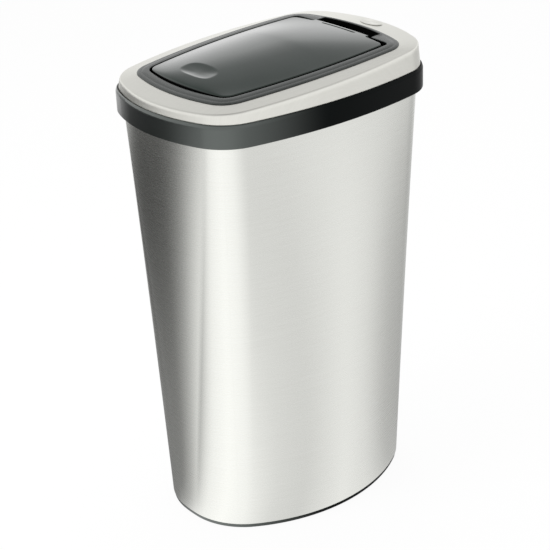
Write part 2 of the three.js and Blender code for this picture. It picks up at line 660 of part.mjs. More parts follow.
// The liner closes the lid from below, with a stiffening rib round it
function lidLiner() {
  const inset = wall + seat;
  const low = (y) => bezelZ(y) - lid.depth;
  const high = (y) => low(y) + liner.plate;
  const ribTop = (y) => high(y) + liner.ribDepth;
  const plate = solid(slab(lidPlan, inset, low, high, poleY));
  const ribOut = solid(slab(lidPlan, liner.ribInset, high, ribTop, poleY));
  const ribIn = solid(slab(lidPlan, liner.ribInset + wall, (y) => low(y) + liner.plate / 2, highestAt, poleY));
  const ribFoot = solid(slab(lidPlan, liner.ribInset, (y) => high(y) - liner.plate / 2, high, poleY));
  let body = plate.add(ribOut.add(ribFoot).subtract(ribIn.subtract(plate)));
  const rearEdge = tongueRear - linerRim;
  const behind = block(-lidPlan.half, lidPlan.half, rearEdge, tongueRear + overrun, lowest, highest);
  body = body.subtract(solid(behind));
  [...linerBossPlaces(), ...strikerScrewPlaces()].forEach(([x, y]) => {
    body = body.subtract(solid(post(screw.shank + seat, x, y, lowest, highest)));
  });
  return surface(body);
}

// Hinge pin and springs

function hingePin() {
  return hingeBar(hinge.pin, -pinShare * tongueHalf, pinShare * tongueHalf);
}

// A torsion spring round the pin: one leg lies under the tongue, the other reaches down to the deck
function torsionSpring(sign) {
  const { fromShare, turns, pitch, radius, wire, leg, sides, steps } = torsion;
  const from = fromShare * tongueHalf;
  const points = [];
  const total = turns * steps;
  for (let i = 0; i <= total; i += 1) {
    const angle = Math.PI / 2 - (2 * Math.PI * i) / steps;
    const x = from + (pitch * i) / steps;
    points.push([sign * x, hingeY + radius * Math.cos(angle), hingeZ + radius * Math.sin(angle)]);
  }
  const first = points[0];
  const last = points[points.length - 1];
  const legEnd = hingeY - leg;
  points.unshift([first[0], legEnd, Math.min(first[2], tongueFoot(legEnd) - wire - seat)]);
  const down = deckTop(hingeY) + wire + seat;
  points.push([last[0], hingeY + radius, hingeZ], [last[0], hingeY + radius, down]);
  printLeastGap('lid spring', points.slice(1, -2), wire, steps);
  return wireAlong(points, wire, sides);
}

// Latch

function latchScrewPlaces() {
  const x = (latch.halfX + latch.play + latch.flangeHalf) / 2;
  return [[-x, latchY], [x, latchY]];
}

const flangeFoot = deckTop(latchY) + 2 * seat;
const latchFloor = deckTop(latchY) - latch.below;

function latchHousing() {
  const { halfX, halfY, above, wall: shell, flangeHalf, flange } = latch;
  const y = latchY;
  const mouth = flangeFoot + above;
  const outside = block(-halfX, halfX, y - halfY, y + halfY, latchFloor, mouth);
  const plate = block(-flangeHalf, flangeHalf, y - halfY, y + halfY, flangeFoot, flangeFoot + flange);
  const room = block(shell - halfX, halfX - shell, y - halfY + shell, y + halfY - shell, latchFloor + shell, highest);
  let body = join(outside, plate).subtract(solid(room));
  latchScrewPlaces().forEach(([x, placeY]) => {
    body = body.subtract(solid(post(screw.shank + running, x, placeY, lowest, highest)));
  });
  return surface(body);
}

// The plunger: a block that slides in the housing, with two jaws for the striker's head
function latchPlunger() {
  const halfX = latch.halfX - latch.wall - latch.play;
  const halfY = latch.halfY - latch.wall - latch.play;
  const { depth, jaw, jawRise, jawPlay } = plunger;
  const top = plungerTop;
  const base = block(-halfX, halfX, latchY - halfY, latchY + halfY, top - depth, top);
  const jaws = [-1, 1].map((sign) => {
    const middle = sign * (striker.halfX + jawPlay + jaw / 2);
    const [from, to] = [middle - jaw / 2, middle + jaw / 2];
    return block(from, to, latchY - halfY, latchY + halfY, top - depth, top + jawRise);
  });
  return surface(join(base, ...jaws));
}

// A compression spring between the housing's floor and the plunger
function latchSpring() {
  const { radius, wire, turns, sides, steps } = catchSpring;
  const low = latchFloor + latch.wall + seat + wire;
  const high = plungerTop - plunger.depth - seat - wire;
  const total = turns * steps;
  const points = [];
  for (let i = 0; i <= total; i += 1) {
    const angle = (2 * Math.PI * i) / steps;
    const z = low + ((high - low) * i) / total;
    points.push([radius * Math.cos(angle), latchY + radius * Math.sin(angle), z]);
  }
  printLeastGap('latch spring', points, wire, steps);
  return wireAlong(points, wire, sides);
}

function strikerScrewPlaces() {
  const x = (striker.halfX + striker.footHalf) / 2;
  return [[-x, latchY], [x, latchY]];
}

// The striker: a foot screwed to the liner and a post with a lipped head
function latchStriker() {
  const { halfX, halfY, neck, foot: footThick, footHalf, lip } = striker;
  const linerFoot = bezelZ(latchY) - lid.depth - 2 * seat;
  const headFoot = plungerTop + plunger.gapToStriker;
  const plate = block(-footHalf, footHalf, latchY - halfY, latchY + halfY, linerFoot - footThick, linerFoot);
  const stem = block(-neck, neck, latchY - halfY, latchY + halfY, headFoot, linerFoot);
  const knob = block(-halfX, halfX, latchY - halfY, latchY + halfY, headFoot, headFoot + lip);
  return surface(join(plate, stem, knob));
}

// A pan-head screw that points up, with its head under the given height
function screwAt(x, y, headTop, length = screw.length) {
  const { shank, head: headRadius, headRise, tip, crownShare } = screw;
  const profile = [
    [0, -headRise], [headRadius * crownShare, -headRise], [headRadius, 0],
    [shank, 0], [shank, length - tip], [0, length],
  ].map(([r, z]) => new THREE.Vector2(r, z));
  return new THREE.LatheGeometry(profile, screw.sides).rotateX(Math.PI / 2).translate(x, y, headTop);
}

// Assembly

const bin = new THREE.Group();

function add(name, geometry, finish) {
  const mesh = new THREE.Mesh(geometry, new THREE.MeshStandardMaterial(finishes[finish]));
  mesh.name = name;
  bin.add(mesh);
}

add('body_sleeve', bodySleeve(), 'brushedSteel');
add('foot_ring', footRing(), 'blackPlastic');
add('floor_pan', floorPan(), 'blackPlastic');
add('collar_band', collarBand(), 'blackPlastic');

add('head_trim', headTrim(), 'brushedSteel');
add('head_frame', headFrame(), 'blackPlastic');
add('lid_bezel', lidBezel(), 'greyPlastic');
add('rear_disc', rearDisc(), 'brushedSteel');
add('hinge_pin', hingePin(), 'springSteel');
add('lid_spring_left', torsionSpring(-1), 'springSteel');
add('lid_spring_right', torsionSpring(1), 'springSteel');
add('latch_housing', latchHousing(), 'blackPlastic');
add('latch_spring', latchSpring(), 'springSteel');
[-1, 1].forEach((sign) => {
  const low = deckTop(bumperY) + seat;
  const high = bezelZ(bumperY) - lid.depth - bumper.play;
  const name = sign < 0 ? 'lid_bumper_left' : 'lid_bumper_right';
  add(name, post(bumper.radius, sign * bumper.x, bumperY, low, high, 2 * screw.sides), 'rubber');
});
bezelScrewPlaces().forEach(([x, y], i) => {
  add(`bezel_screw_${i + 1}`, screwAt(x, y, deckFoot(y) - seat), 'springSteel');
});
latchScrewPlaces().forEach(([x, y], i) => {
  add(`latch_screw_${i + 1}`, screwAt(x, y, deckFoot(y) - seat, wall + latch.flange), 'springSteel');
});

add('lid_cover', lidCover(), 'lidPlastic');
add('lid_liner', lidLiner(), 'blackPlastic');
add('latch_striker', latchStriker(), 'blackPlastic');
linerBossPlaces().forEach(([x, y], i) => {
  add(`liner_screw_${i + 1}`, screwAt(x, y, bezelZ(y) - lid.depth - seat), 'springSteel');
});
add('latch_plunger', latchPlunger(), 'greyPlastic');

export default bin;
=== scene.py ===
# %% [markdown]
# # A press-top waste bin
# The bin stands on a thin dark foot ring. Its body is one tapered steel sleeve with a black
# plastic collar round the mouth. A steel trim, a dark bezel and a domed lid form the head. The CAD
# model gives every piece its place. Here the pieces that show are drawn again with fine curves, and
# every piece gets a worked-out finish.

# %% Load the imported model
import math

import bpy
import numpy as np
from mathutils import Matrix, Vector


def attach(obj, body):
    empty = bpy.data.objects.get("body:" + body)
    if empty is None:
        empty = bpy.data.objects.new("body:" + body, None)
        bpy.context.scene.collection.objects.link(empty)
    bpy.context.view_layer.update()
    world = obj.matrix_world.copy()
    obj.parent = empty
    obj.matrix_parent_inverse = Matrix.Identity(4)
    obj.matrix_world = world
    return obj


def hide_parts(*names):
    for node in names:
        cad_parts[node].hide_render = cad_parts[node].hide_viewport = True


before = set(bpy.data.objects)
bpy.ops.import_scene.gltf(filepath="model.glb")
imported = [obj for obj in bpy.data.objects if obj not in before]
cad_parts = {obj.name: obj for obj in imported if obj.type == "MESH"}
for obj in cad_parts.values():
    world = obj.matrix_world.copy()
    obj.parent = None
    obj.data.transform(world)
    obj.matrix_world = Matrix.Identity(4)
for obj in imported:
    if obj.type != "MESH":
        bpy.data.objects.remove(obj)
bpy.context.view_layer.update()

# %% [markdown]
# ## Sizes
# All sizes are real ones, in millimetres, turned to metres by one factor. The front of the bin
# looks towards -Y, its long axis runs along Y and its width along X. Writing the sizes as a table
# keeps each one in one place, so that two pieces that meet can't drift apart.

# %% Sizes of the bin
# REACH and HALF are half the collar's length and width. SHEET is the steel's thickness, and SEAT the
# play between pieces that touch. The rises lift the shoulder over the collar, and the bezel over the
# shoulder. RIM is the bezel's width beside its opening, GAP the gap round the lid, and CREST how far
# the bezel's inner edge stands over its outer edge.
MM = 0.001
REACH, HALF = 205 * MM, 146.9 * MM
FOOT_RISE, BAND_TOP, BAND_HEIGHT = 6 * MM, 621.5 * MM, 31.8 * MM
BAND_FOOT = BAND_TOP - BAND_HEIGHT
SHEET, SEAT = 0.8 * MM, 0.3 * MM
SLEEVE_INSET, SLEEVE_FOLD = 9.2 * MM, 2.4 * MM
SLEEVE_TOP = BAND_TOP - 9.8 * MM
FRONT_RISE, REAR_RISE, ARCH, BEZEL_RISE = 10.9 * MM, 30.4 * MM, 1.35 * MM, 5.1 * MM
SHOULDER_REACH = REACH - 8.9 * MM
RIM, GAP, CREST = 17.4 * MM, 3.6 * MM, 1.2 * MM
print("body", 2 * REACH, "x", 2 * HALF, "m, collar top at", BAND_TOP)

# %% [markdown]
# ## Outlines
# Seen from above, the bin is a rounded rectangle with bulging sides. Such a curve could be drawn by
# hand as a spline. Arcs are used instead, because a pressed or moulded rim is made of arcs: one for
# each end, one for each side, and a smaller one at each corner that touches both. All arcs of one
# outline keep their centres when it is drawn in, so walls have an even thickness.

# %% Outline of a rounded rectangle with bulging sides
STEPS = {"end": 14, "corner": 22, "side": 18}


def arc_radius(run, bulge):
    """Radius of an arc that falls away by the bulge over the run: (run^2 + bulge^2) / (2 bulge)."""
    return (run**2 + bulge**2) / (2 * bulge)


def make_plan(front, rear, half, widest, end, side, corner):
    """An outline's sizes. The last three are shares of the half width: how far the end arc and the
    side arc fall away, and the corner's radius."""
    return {
        "front": front, "rear": rear, "half": half, "widest": widest,
        "end": arc_radius(half, end * half), "rear_end": arc_radius(half, end * half),
        "side": arc_radius(front + widest, side * half), "corner": corner * half,
        "rear_corner": corner * half,
    }


def arc(centre, radius, start, stop, steps):
    """Points centre + radius (cos a, sin a), a running evenly from start up to, not onto, stop."""
    a = np.linspace(start, stop, steps, endpoint=False)
    return centre + radius * np.stack([np.cos(a), np.sin(a)], 1)


def quarter(reach, half, end, side, corner, fine):
    """End arc, corner arc and side arc, from (0, -reach) to (half, 0). The corner's centre is as far
    from the end's centre as their radii differ, and likewise from the side's centre."""
    e, s = np.array([0.0, end - reach]), np.array([half - side, 0.0])
    span = np.linalg.norm(s - e)
    u = (s - e) / span
    along = ((end - corner) ** 2 - (side - corner) ** 2 + span**2) / (2 * span)
    out = math.sqrt((end - corner) ** 2 - along**2)
    ways = [e + u * along + out * sign * np.array([-u[1], u[0]]) for sign in (1, -1)]
    c = min(ways, key=lambda p: p[1])
    to_end = math.atan2(*(c - e)[::-1]) % (2 * math.pi)
    to_side = math.atan2(*(c - s)[::-1]) % (2 * math.pi)
    return np.vstack([
        arc(e, end, 1.5 * math.pi, to_end, STEPS["end"] * fine),
        arc(c, corner, to_end, to_side, STEPS["corner"] * fine),
        arc(s, side, to_side, 2 * math.pi, STEPS["side"] * fine),
        [[half, 0.0]],
    ])


def outline(plan, inset=0.0, fine=1):
    """The closed outline, anticlockwise from the middle of the front, drawn in by inset: a quarter
    to the front and a quarter to the rear of the widest line, then both mirrored. A higher fine
    gives more points to each arc."""
    half, side, widest = plan["half"] - inset, plan["side"] - inset, plan["widest"]
    front, rear = (
        quarter(reach - inset, half, plan[end] - inset, side, plan[corner] - inset, fine)
        for reach, end, corner in (
            (plan["front"] + widest, "end", "corner"),
            (plan["rear"] - widest, "rear_end", "rear_corner"),
        )
    )
    right = np.vstack([front, rear[:-1][::-1] * [1, -1]])
    both = np.vstack([right, right[1:-1][::-1] * [-1, 1]])
    return both + [0, widest]


# %% Outlines of the collar, the foot, the bezel and the lid
band = make_plan(REACH, REACH, HALF, 0, end=0.3268, side=0.2151, corner=0.4554)
foot_reach = REACH - 23.7 * MM
foot = make_plan(foot_reach, foot_reach, HALF - 14.5 * MM, 0, end=0.2885, side=0.5891, corner=0.7492)
bezel = make_plan(
    REACH - 34.2 * MM, REACH - 43.3 * MM, HALF - 28.5 * MM, 26.7 * MM,
    end=0.2027, side=0.1765, corner=0.3176,
)
lid = {key: bezel[key] - (RIM + GAP) for key in ("front", "half", "end", "side", "corner")}
lid.update(rear=122.5 * MM, rear_end=1400 * MM, rear_corner=10 * MM, widest=bezel["widest"])
print("points round an outline:", len(outline(band)), "lid half width", lid["half"])

# %% [markdown]
# ## Heights on the head
# The head slopes: its shoulder stands higher over the collar at the rear than at the front, along
# a faint arch. The bezel follows it a few millimetres higher. Each piece could have heights of its
# own, but two functions of y keep all of them on one slope.

# %% Height of the shoulder and of the bezel


def shoulder_z(y):
    """Mean rise, plus a straight slope along y, plus an arch that falls as the square of y."""
    along = np.asarray(y) / SHOULDER_REACH
    mean, tilt = (FRONT_RISE + REAR_RISE) / 2, (REAR_RISE - FRONT_RISE) / 2
    return BAND_TOP + mean + tilt * along + ARCH * (1 - along**2)


def bezel_z(y):
    """The bezel's top face, at a fixed rise over the shoulder's line."""
    return shoulder_z(y) + BEZEL_RISE


def loop(plan, inset, z):
    """An outline in space. z is one height, or a function of y."""
    flat = outline(plan, inset)
    height = z(flat[:, 1]) if callable(z) else np.full(len(flat), z)
    return np.column_stack([flat, height])


print("bezel top, front and rear:", bezel_z(-bezel["front"]), bezel_z(bezel["rear"]))

# %% [markdown]
# ## From grids to meshes
# Every piece here is a grid of points: one direction runs round the bin, the other runs along the
# piece's section. Neighbours on the grid make four-sided faces. Working on whole arrays is quick
# and keeps the points where the formula puts them.

# %% Build a mesh from a grid of points


def grid_faces(rows, cols, wrap_rows):
    """Faces (row, col), (row, col+1), (row+1, col+1), (row+1, col). Columns always close round."""
    r, c = np.meshgrid(np.arange(rows if wrap_rows else rows - 1), np.arange(cols), indexing="ij")
    r2, c2 = (r + 1) % rows, (c + 1) % cols
    return np.stack([r * cols + c, r * cols + c2, r2 * cols + c2, r2 * cols + c], -1).reshape(-1, 4)


def signed_volume(points, faces):
    """Sum over the fans of each face of a . (b x c) / 6: negative if the faces look inwards."""
    total = 0.0
    for k in range(1, faces.shape[1] - 1):
        a, b, c = points[faces[:, 0]], points[faces[:, k]], points[faces[:, k + 1]]
        total += np.einsum("ij,ij->i", a, np.cross(b, c)).sum() / 6
    return total


def add_mesh(name, points, faces, tips=None, sharp=40):
    """A smooth-shaded object at the origin from points and four-sided faces, plus tips, the
    triangles that close its poles. Edges over the sharp angle, in degrees, stay crisp."""
    volume = signed_volume(points, faces) + (signed_volume(points, tips) if tips is not None else 0)
    groups = [faces] if tips is None else [faces, tips]
    if volume < 0:
        groups = [g[:, ::-1] for g in groups]
    mesh = bpy.data.meshes.new(name)
    mesh.from_pydata(points.tolist(), [], [f for g in groups for f in g.tolist()])
    mesh.shade_smooth()
    mesh.set_sharp_from_angle(angle=math.radians(sharp))
    piece = bpy.data.objects.new(name, mesh)
    bpy.context.scene.collection.objects.link(piece)
    print(f"{name}: {len(points)} points, {abs(volume) * 1e6:.1f} cm3")
    return piece


def hoop(name, loops):
    """A closed ring: loops of points, taken in order round the section."""
    grid = np.stack(loops)
    return add_mesh(name, grid.reshape(-1, 3), grid_faces(grid.shape[0], grid.shape[1], True))


def capped(name, rows, first_tip, last_tip, sharp=40):
    """A closed shell: rows of points in order, and a fan of triangles from each tip to its row."""
    grid = np.stack(rows)
    count, cols = grid.shape[:2]
    points = np.vstack([grid.reshape(-1, 3), [first_tip, last_tip]])
    c, last = np.arange(cols), (count - 1) * cols
    fans = np.vstack([
        np.column_stack([np.full(cols, count * cols), (c + 1) % cols, c]),
        np.column_stack([np.full(cols, count * cols + 1), last + c, last + (c + 1) % cols]),
    ])
    return add_mesh(name, points, grid_faces(count, cols, False), fans, sharp)


def place(piece, body, nodes, material):
    """Hands a piece to its body, hides the CAD nodes it stands for, and gives it its finish."""
    piece.data.materials.append(material)
    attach(piece, body)
    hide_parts(*nodes)


# %% [markdown]
# ## Sections with rounded corners
# A section is a closed polygon of (inset, height) pairs. Real sheet and moulded plastic have no
# knife edges. A Bevel modifier gives one width to every corner, so here each corner has a radius of
# its own instead. Extra points just beside a rounding keep flat faces flat under smooth shading.

# %% Round the corners of a section


def turn_corner(p, q, r, radius, steps=6):
    """Points on the circle of this radius that touches the lines p-q and q-r. Its centre lies on
    the bisector, at radius / sin(half the angle) from q."""
    a, b = (p - q) / np.linalg.norm(p - q), (r - q) / np.linalg.norm(r - q)
    half = math.acos(np.clip(a @ b, -1, 1)) / 2
    centre = q + (a + b) / np.linalg.norm(a + b) * radius / math.sin(half)
    s, e = q + a * radius / math.tan(half) - centre, q + b * radius / math.tan(half) - centre
    swing = math.atan2(s[0] * e[1] - s[1] * e[0], s @ e)
    t = np.linspace(0, swing, steps + 1)[:, None]
    return centre + np.cos(t) * s + np.sin(t) * np.array([-s[1], s[0]])


def rounded(corners, steps=6, support=0.35 * MM):
    """Replaces each corner (inset, height, radius) by the points of turn_corner. Where a side is
    long enough, one more point lies beside the rounding, at the distance support."""
    spots = np.array([corner[:2] for corner in corners], float)
    out = []
    for k, (*_, radius) in enumerate(corners):
        before, p, after = spots[k - 1], spots[k], spots[(k + 1) % len(spots)]
        if radius <= 0:
            out.append(p)
            continue
        turn = turn_corner(before, p, after, radius, steps)
        beside = []
        for end, neighbour in ((turn[0], before), (turn[-1], after)):
            length, tangent = np.linalg.norm(neighbour - p), np.linalg.norm(end - p)
            point = p + (neighbour - p) / length * (tangent + support)
            beside.append([point] if length > tangent + 2 * support else [])
        out += [*beside[0], *turn, *beside[1]]
    return np.array(out)


test = rounded([(0, 0, 1), (10, 0, 1), (10, 10, 1), (0, 10, 0)])
print("a rounded square has", len(test), "points")

# %% [markdown]
# ## Shared effects
# Some effects belong to more than one finish: the fine lines of brushing, the slow waves of thin
# sheet, the pebbled skin of moulded plastic, painted shade on steep walls, and the faint marks that
# hands leave. Their nodes could be laid out again in each material. A node group with its own
# inputs keeps each effect in one place, and every finish sets how strong it is.

# %% Node helpers
FLOAT, VECTOR = "NodeSocketFloat", "NodeSocketVector"


def new_group(name, inputs, outputs):
    """An empty shader node group with float or vector inputs and float outputs."""
    group = bpy.data.node_groups.new(name, "ShaderNodeTree")
    for label, kind, value in inputs:
        socket = group.interface.new_socket(label, in_out="INPUT", socket_type=kind)
        if value is not None:
            socket.default_value = value
    for label in outputs:
        group.interface.new_socket(label, in_out="OUTPUT", socket_type=FLOAT)
    return group, group.nodes.new("NodeGroupInput"), group.nodes.new("NodeGroupOutput")


def node(tree, kind, inputs=None, **settings):
    """A node with its settings and its inputs: a value is set, and a socket is linked."""
    made = tree.nodes.new(kind)
    for key, value in settings.items():
        setattr(made, key, value)
    for key, value in (inputs or {}).items():
        if isinstance(value, bpy.types.NodeSocket):
            tree.links.new(value, made.inputs[key])
        else:
            made.inputs[key].default_value = value
    return made


def feed(target, **sources):
    """Links sources to a node's inputs, with an underscore for each space in a name."""
    for key, source in sources.items():
        target.id_data.links.new(source, target.inputs[key.replace("_", " ")])


def stretched(tree, vector, scale):
    """The vector times a scale of its own on each axis."""
    return node(tree, "ShaderNodeMapping", {"Vector": vector, "Scale": scale}).outputs["Vector"]


def noise(tree, vector, scale, **inputs):
    """Cloudy noise, about 0 to 1, over the vector times the scale."""
    values = {"Vector": vector, "Scale": scale, **inputs}
    return node(tree, "ShaderNodeTexNoise", values).outputs["Fac"]


def remap(tree, value, source=(0, 1), target=(0, 1), **settings):
    """Maps one range onto another: the share of the way through the source, kept within 0 to 1,
    is taken through the target."""
    ends = dict(zip(("From Min", "From Max", "To Min", "To Max"), (*source, *target)))
    return node(tree, "ShaderNodeMapRange", {"Value": value, **ends}, **settings).outputs["Result"]


def product(tree, a, b):
    """One value times another."""
    return node(tree, "ShaderNodeMath", {0: a, 1: b}, operation="MULTIPLY").outputs["Value"]


# %% Group: fine brushed lines
brushing, b_in, b_out = new_group(
    "brushed_lines", [("Vector", VECTOR, None), ("Breakup", FLOAT, 0.5)], ["Height", "Shade"]
)
where = b_in.outputs["Vector"]
fine = noise(brushing, where, 1.0, Detail=4.0, Roughness=0.65)
coarse = noise(brushing, stretched(brushing, where, (0.22, 0.22, 0.22)), 1.0, Detail=2.0)
blend = {"Factor": b_in.outputs["Breakup"], "A": fine, "B": coarse}
lines = node(brushing, "ShaderNodeMix", blend).outputs["Result"]
feed(b_out, Height=lines, Shade=remap(brushing, lines, (0.3, 0.7)))
print("group", brushing.name)

# %% Group: slow waves in thin sheet
waves, w_in, w_out = new_group(
    "sheet_waves", [("Vector", VECTOR, None), ("Scale", FLOAT, 1.0)], ["Height"]
)
slow = noise(waves, w_in.outputs["Vector"], w_in.outputs["Scale"], Detail=1.0, Roughness=0.4)
feed(w_out, Height=slow)
print("group", waves.name)

# %% Group: pebbled skin of moulded plastic
skin, s_in, s_out = new_group(
    "moulded_skin", [("Vector", VECTOR, None), ("Grain", FLOAT, 1600.0)], ["Height", "Mottle"]
)
where = s_in.outputs["Vector"]
cells = {"Vector": where, "Scale": s_in.outputs["Grain"]}
pebble = node(skin, "ShaderNodeTexVoronoi", cells, feature="SMOOTH_F1").outputs["Distance"]
feed(s_out, Height=pebble, Mottle=noise(skin, where, 22.0, Detail=3.0))
print("group", skin.name)

# %% Group: painted shade on steep walls
WALL_EDGE, WALL_FULL = 0.35, 0.15


def wall_mask(tree, edge):
    """How steep a surface is, from the upward part of its normal: 0 above edge, rising in a
    straight line to 1 at WALL_FULL."""
    normal = node(tree, "ShaderNodeNewGeometry").outputs["Normal"]
    facing = node(tree, "ShaderNodeSeparateXYZ", {"Vector": normal}).outputs["Z"]
    upward = node(tree, "ShaderNodeMath", {0: facing}, operation="ABSOLUTE").outputs["Value"]
    return remap(tree, upward, (edge, WALL_FULL))


steep, t_in, t_out = new_group("painted_wall_shade", [("Edge", FLOAT, WALL_EDGE)], ["Mask"])
feed(t_out, Mask=wall_mask(steep, t_in.outputs["Edge"]))
print("group", steep.name)

# %% Group: marks that hands leave
marks, m_in, m_out = new_group(
    "hand_marks", [("Vector", VECTOR, None), ("Amount", FLOAT, 0.5)], ["Mask"]
)
patch = noise(marks, m_in.outputs["Vector"], 14.0, Detail=5.0, Roughness=0.6, Distortion=0.8)
spread = remap(marks, patch, (0.45, 0.8))
feed(m_out, Mask=product(marks, spread, m_in.outputs["Amount"]))
print("groups:", [g.name for g in bpy.data.node_groups])

# %% [markdown]
# ## Finishes
# Each finish starts from the Principled shader, with its fixed values on the shader's own sockets,
# and only what changes over the surface comes in by a link. Pictures wrapped round the pieces could
# do the same, but patterns worked out from the place on a piece have no seams and stay sharp.

# %% Material helpers


def new_finish(name, **values):
    """A material with a Principled shader, its constants set, and object coordinates at hand. An
    underscore stands for each space in a socket's name."""
    made = bpy.data.materials.new(name)
    made.use_nodes = True
    tree = made.node_tree
    shader = tree.nodes["Principled BSDF"]
    for key, value in values.items():
        shader.inputs[key.replace("_", " ")].default_value = value
    where = node(tree, "ShaderNodeTexCoord").outputs["Object"]
    return made, tree, shader, where


def use(tree, group, **inputs):
    """Places a node group, with values set or sockets linked."""
    return node(tree, "ShaderNodeGroup", inputs, node_tree=group)


def ramp(tree, factor, stops):
    """A colour ramp with (place, colour) stops."""
    made = node(tree, "ShaderNodeValToRGB", {"Fac": factor})
    elements = made.color_ramp.elements
    while len(elements) < len(stops):
        elements.new(0.5)
    for element, (place_at, colour) in zip(elements, stops):
        element.position = place_at
        element.color = (*colour, 1)
    return made.outputs["Color"]


def bump(tree, height, strength, distance, normal=None):
    """A bump from a height, laid over another bump if one is given."""
    inputs = {"Height": height, "Strength": strength, "Distance": distance}
    if normal is not None:
        inputs["Normal"] = normal
    return node(tree, "ShaderNodeBump", inputs).outputs["Normal"]


# %% [markdown]
# ## Brushed steel
# The sleeve and the trim are sheet steel, brushed one way before it is bent. Each line could be a
# scratch in the mesh, but there are thousands. Noise stretched along the brushing draws the lines
# instead, the shader's anisotropy spreads the highlights across them, and slow waves bend the
# reflections a little, as thin sheet does.

# %% Brushed steel of the sleeve and the trim
LINE_DEPTH = 0.02 * MM


def brushed_steel(name, stretch, low, high, rough, wave_scale, wave_height, turn):
    """Steel with fine lines, in a tone between low and high. The grain runs along the axis that
    stretch gives a small number."""
    made, tree, shader, where = new_finish(
        name, Metallic=1.0, Anisotropic=0.5, Anisotropic_Rotation=turn
    )
    grain = use(tree, brushing, Vector=stretched(tree, where, stretch), Breakup=0.4)
    slow_wave = use(tree, waves, Vector=stretched(tree, where, (1, 1, 0.45)), Scale=wave_scale)
    bent = bump(tree, slow_wave.outputs["Height"], 1.0, wave_height)
    feed(
        shader,
        Base_Color=ramp(tree, grain.outputs["Shade"], [(0, low), (1, high)]),
        Roughness=remap(tree, grain.outputs["Shade"], target=(rough - 0.02, rough + 0.03)),
        Normal=bump(tree, grain.outputs["Height"], 0.1, LINE_DEPTH, bent),
        Tangent=node(tree, "ShaderNodeTangent", direction_type="RADIAL", axis="Z").outputs["Tangent"],
    )
    return made


sleeve_steel = brushed_steel(
    "sleeve_steel", (60, 60, 2600), (0.82, 0.825, 0.785), (0.87, 0.875, 0.835),
    rough=0.27, wave_scale=9.0, wave_height=0.7 * MM, turn=0.25,
)
trim_steel = brushed_steel(
    "trim_steel", (2400, 60, 60), (0.77, 0.765, 0.715), (0.83, 0.825, 0.775),
    rough=0.30, wave_scale=6.0, wave_height=0.2 * MM, turn=0.0,
)
print("steel finishes ready")

# %% [markdown]
# ## Moulded plastics
# The collar, the bezel, the lid and most pieces inside are injection mouldings. Their gloss comes
# from the mould's finish, and a close look shows a pebbled skin. One function makes them all, because
# they differ only in numbers. Two finishes have painted shade: black, dull steep walls for the dark
# of gaps and slots. The collar has a painted highlight: its gloss grows towards the front end.

# %% Moulded plastics


def moulded(name, dark, light, rough, grain, height, specular=0.5, coat=0.0, **more):
    """Moulded plastic: a faint mottle between a dark and a light colour, a pebbled skin of grain
    cells to a metre, and a slightly uneven gloss."""
    made, tree, shader, where = new_finish(
        name, Specular_IOR_Level=specular, Coat_Weight=coat, Coat_Roughness=0.05, **more
    )
    body = use(tree, skin, Vector=where, Grain=grain)
    touched = use(tree, marks, Vector=where, Amount=0.6)
    feed(
        shader,
        Base_Color=ramp(tree, body.outputs["Mottle"], [(0.3, dark), (0.7, light)]),
        Roughness=remap(tree, touched.outputs["Mask"], target=(rough, rough + 0.08)),
        Normal=bump(tree, body.outputs["Height"], 0.3, height),
    )
    return made


def paint_wall_shade(made, specular, black=(0.002, 0.002, 0.002, 1), dull=0.05):
    """Paints shade onto the steep walls: black, and of a dull specular level, for the dark of gaps
    and slots. The group's mask goes to the colour. The level takes the same mask from the material's
    own nodes."""
    tree = made.node_tree
    shader = tree.nodes["Principled BSDF"]
    colour = shader.inputs["Base Color"].links[0].from_socket
    wall_shade_inputs = {"Factor": use(tree, steep).outputs["Mask"], 6: colour, 7: black}
    wall_shaded_colour = node(tree, "ShaderNodeMix", wall_shade_inputs, data_type="RGBA").outputs[2]
    level = remap(tree, wall_mask(tree, WALL_EDGE), target=(specular, dull))
    feed(shader, Base_Color=wall_shaded_colour, Specular_IOR_Level=level)


# %% Plastic of the collar and the foot ring, with a painted highlight towards the front
collar_plastic = moulded(
    "collar_plastic", (0.0002, 0.0008, 0.0010), (0.0005, 0.0014, 0.0017),
    rough=0.30, grain=1500, height=0.02 * MM, specular=0.1, IOR=1.6, Specular_Tint=(0.88, 1, 0.93, 1),
)
tree = collar_plastic.node_tree
where = node(tree, "ShaderNodeTexCoord").outputs["Object"]
along_y = node(tree, "ShaderNodeSeparateXYZ", {"Vector": where}).outputs["Y"]
# Painted highlight: specular level and coat rise from faint on the long sides to full at the front
# end, a sheen painted on; the foot ring shares it.
SHEEN_FADES_Y, SHEEN_FULL_Y = -20 * MM, -190 * MM
painted_front_sheen = remap(tree, along_y, (SHEEN_FADES_Y, SHEEN_FULL_Y), (0.04, 1.0), interpolation_type="SMOOTHSTEP")
feed(tree.nodes["Principled BSDF"], Specular_IOR_Level=painted_front_sheen, Coat_Weight=painted_front_sheen)
print("collar gloss from y", SHEEN_FADES_Y, "to", SHEEN_FULL_Y)

# %% Plastics of the bezel, the lid and the pieces inside
BEZEL_SHINE, LID_SHINE = 0.7, 0.3
inner_plastic = moulded(
    "inner_plastic", (0.010, 0.011, 0.011), (0.016, 0.017, 0.017),
    rough=0.5, grain=900, height=0.05 * MM, specular=0.4,
)
bezel_plastic = moulded(
    "bezel_plastic", (0.014, 0.018, 0.016), (0.021, 0.025, 0.023),
    rough=0.26, grain=1800, height=0.02 * MM, specular=BEZEL_SHINE,
)
lid_plastic = moulded(
    "lid_plastic", (0.004, 0.009, 0.007), (0.007, 0.013, 0.011),
    rough=0.13, grain=2600, height=0.004 * MM, specular=LID_SHINE, coat=1.0,
    Coat_IOR=1.28, Specular_Tint=(0.86, 1, 0.90, 1),
)
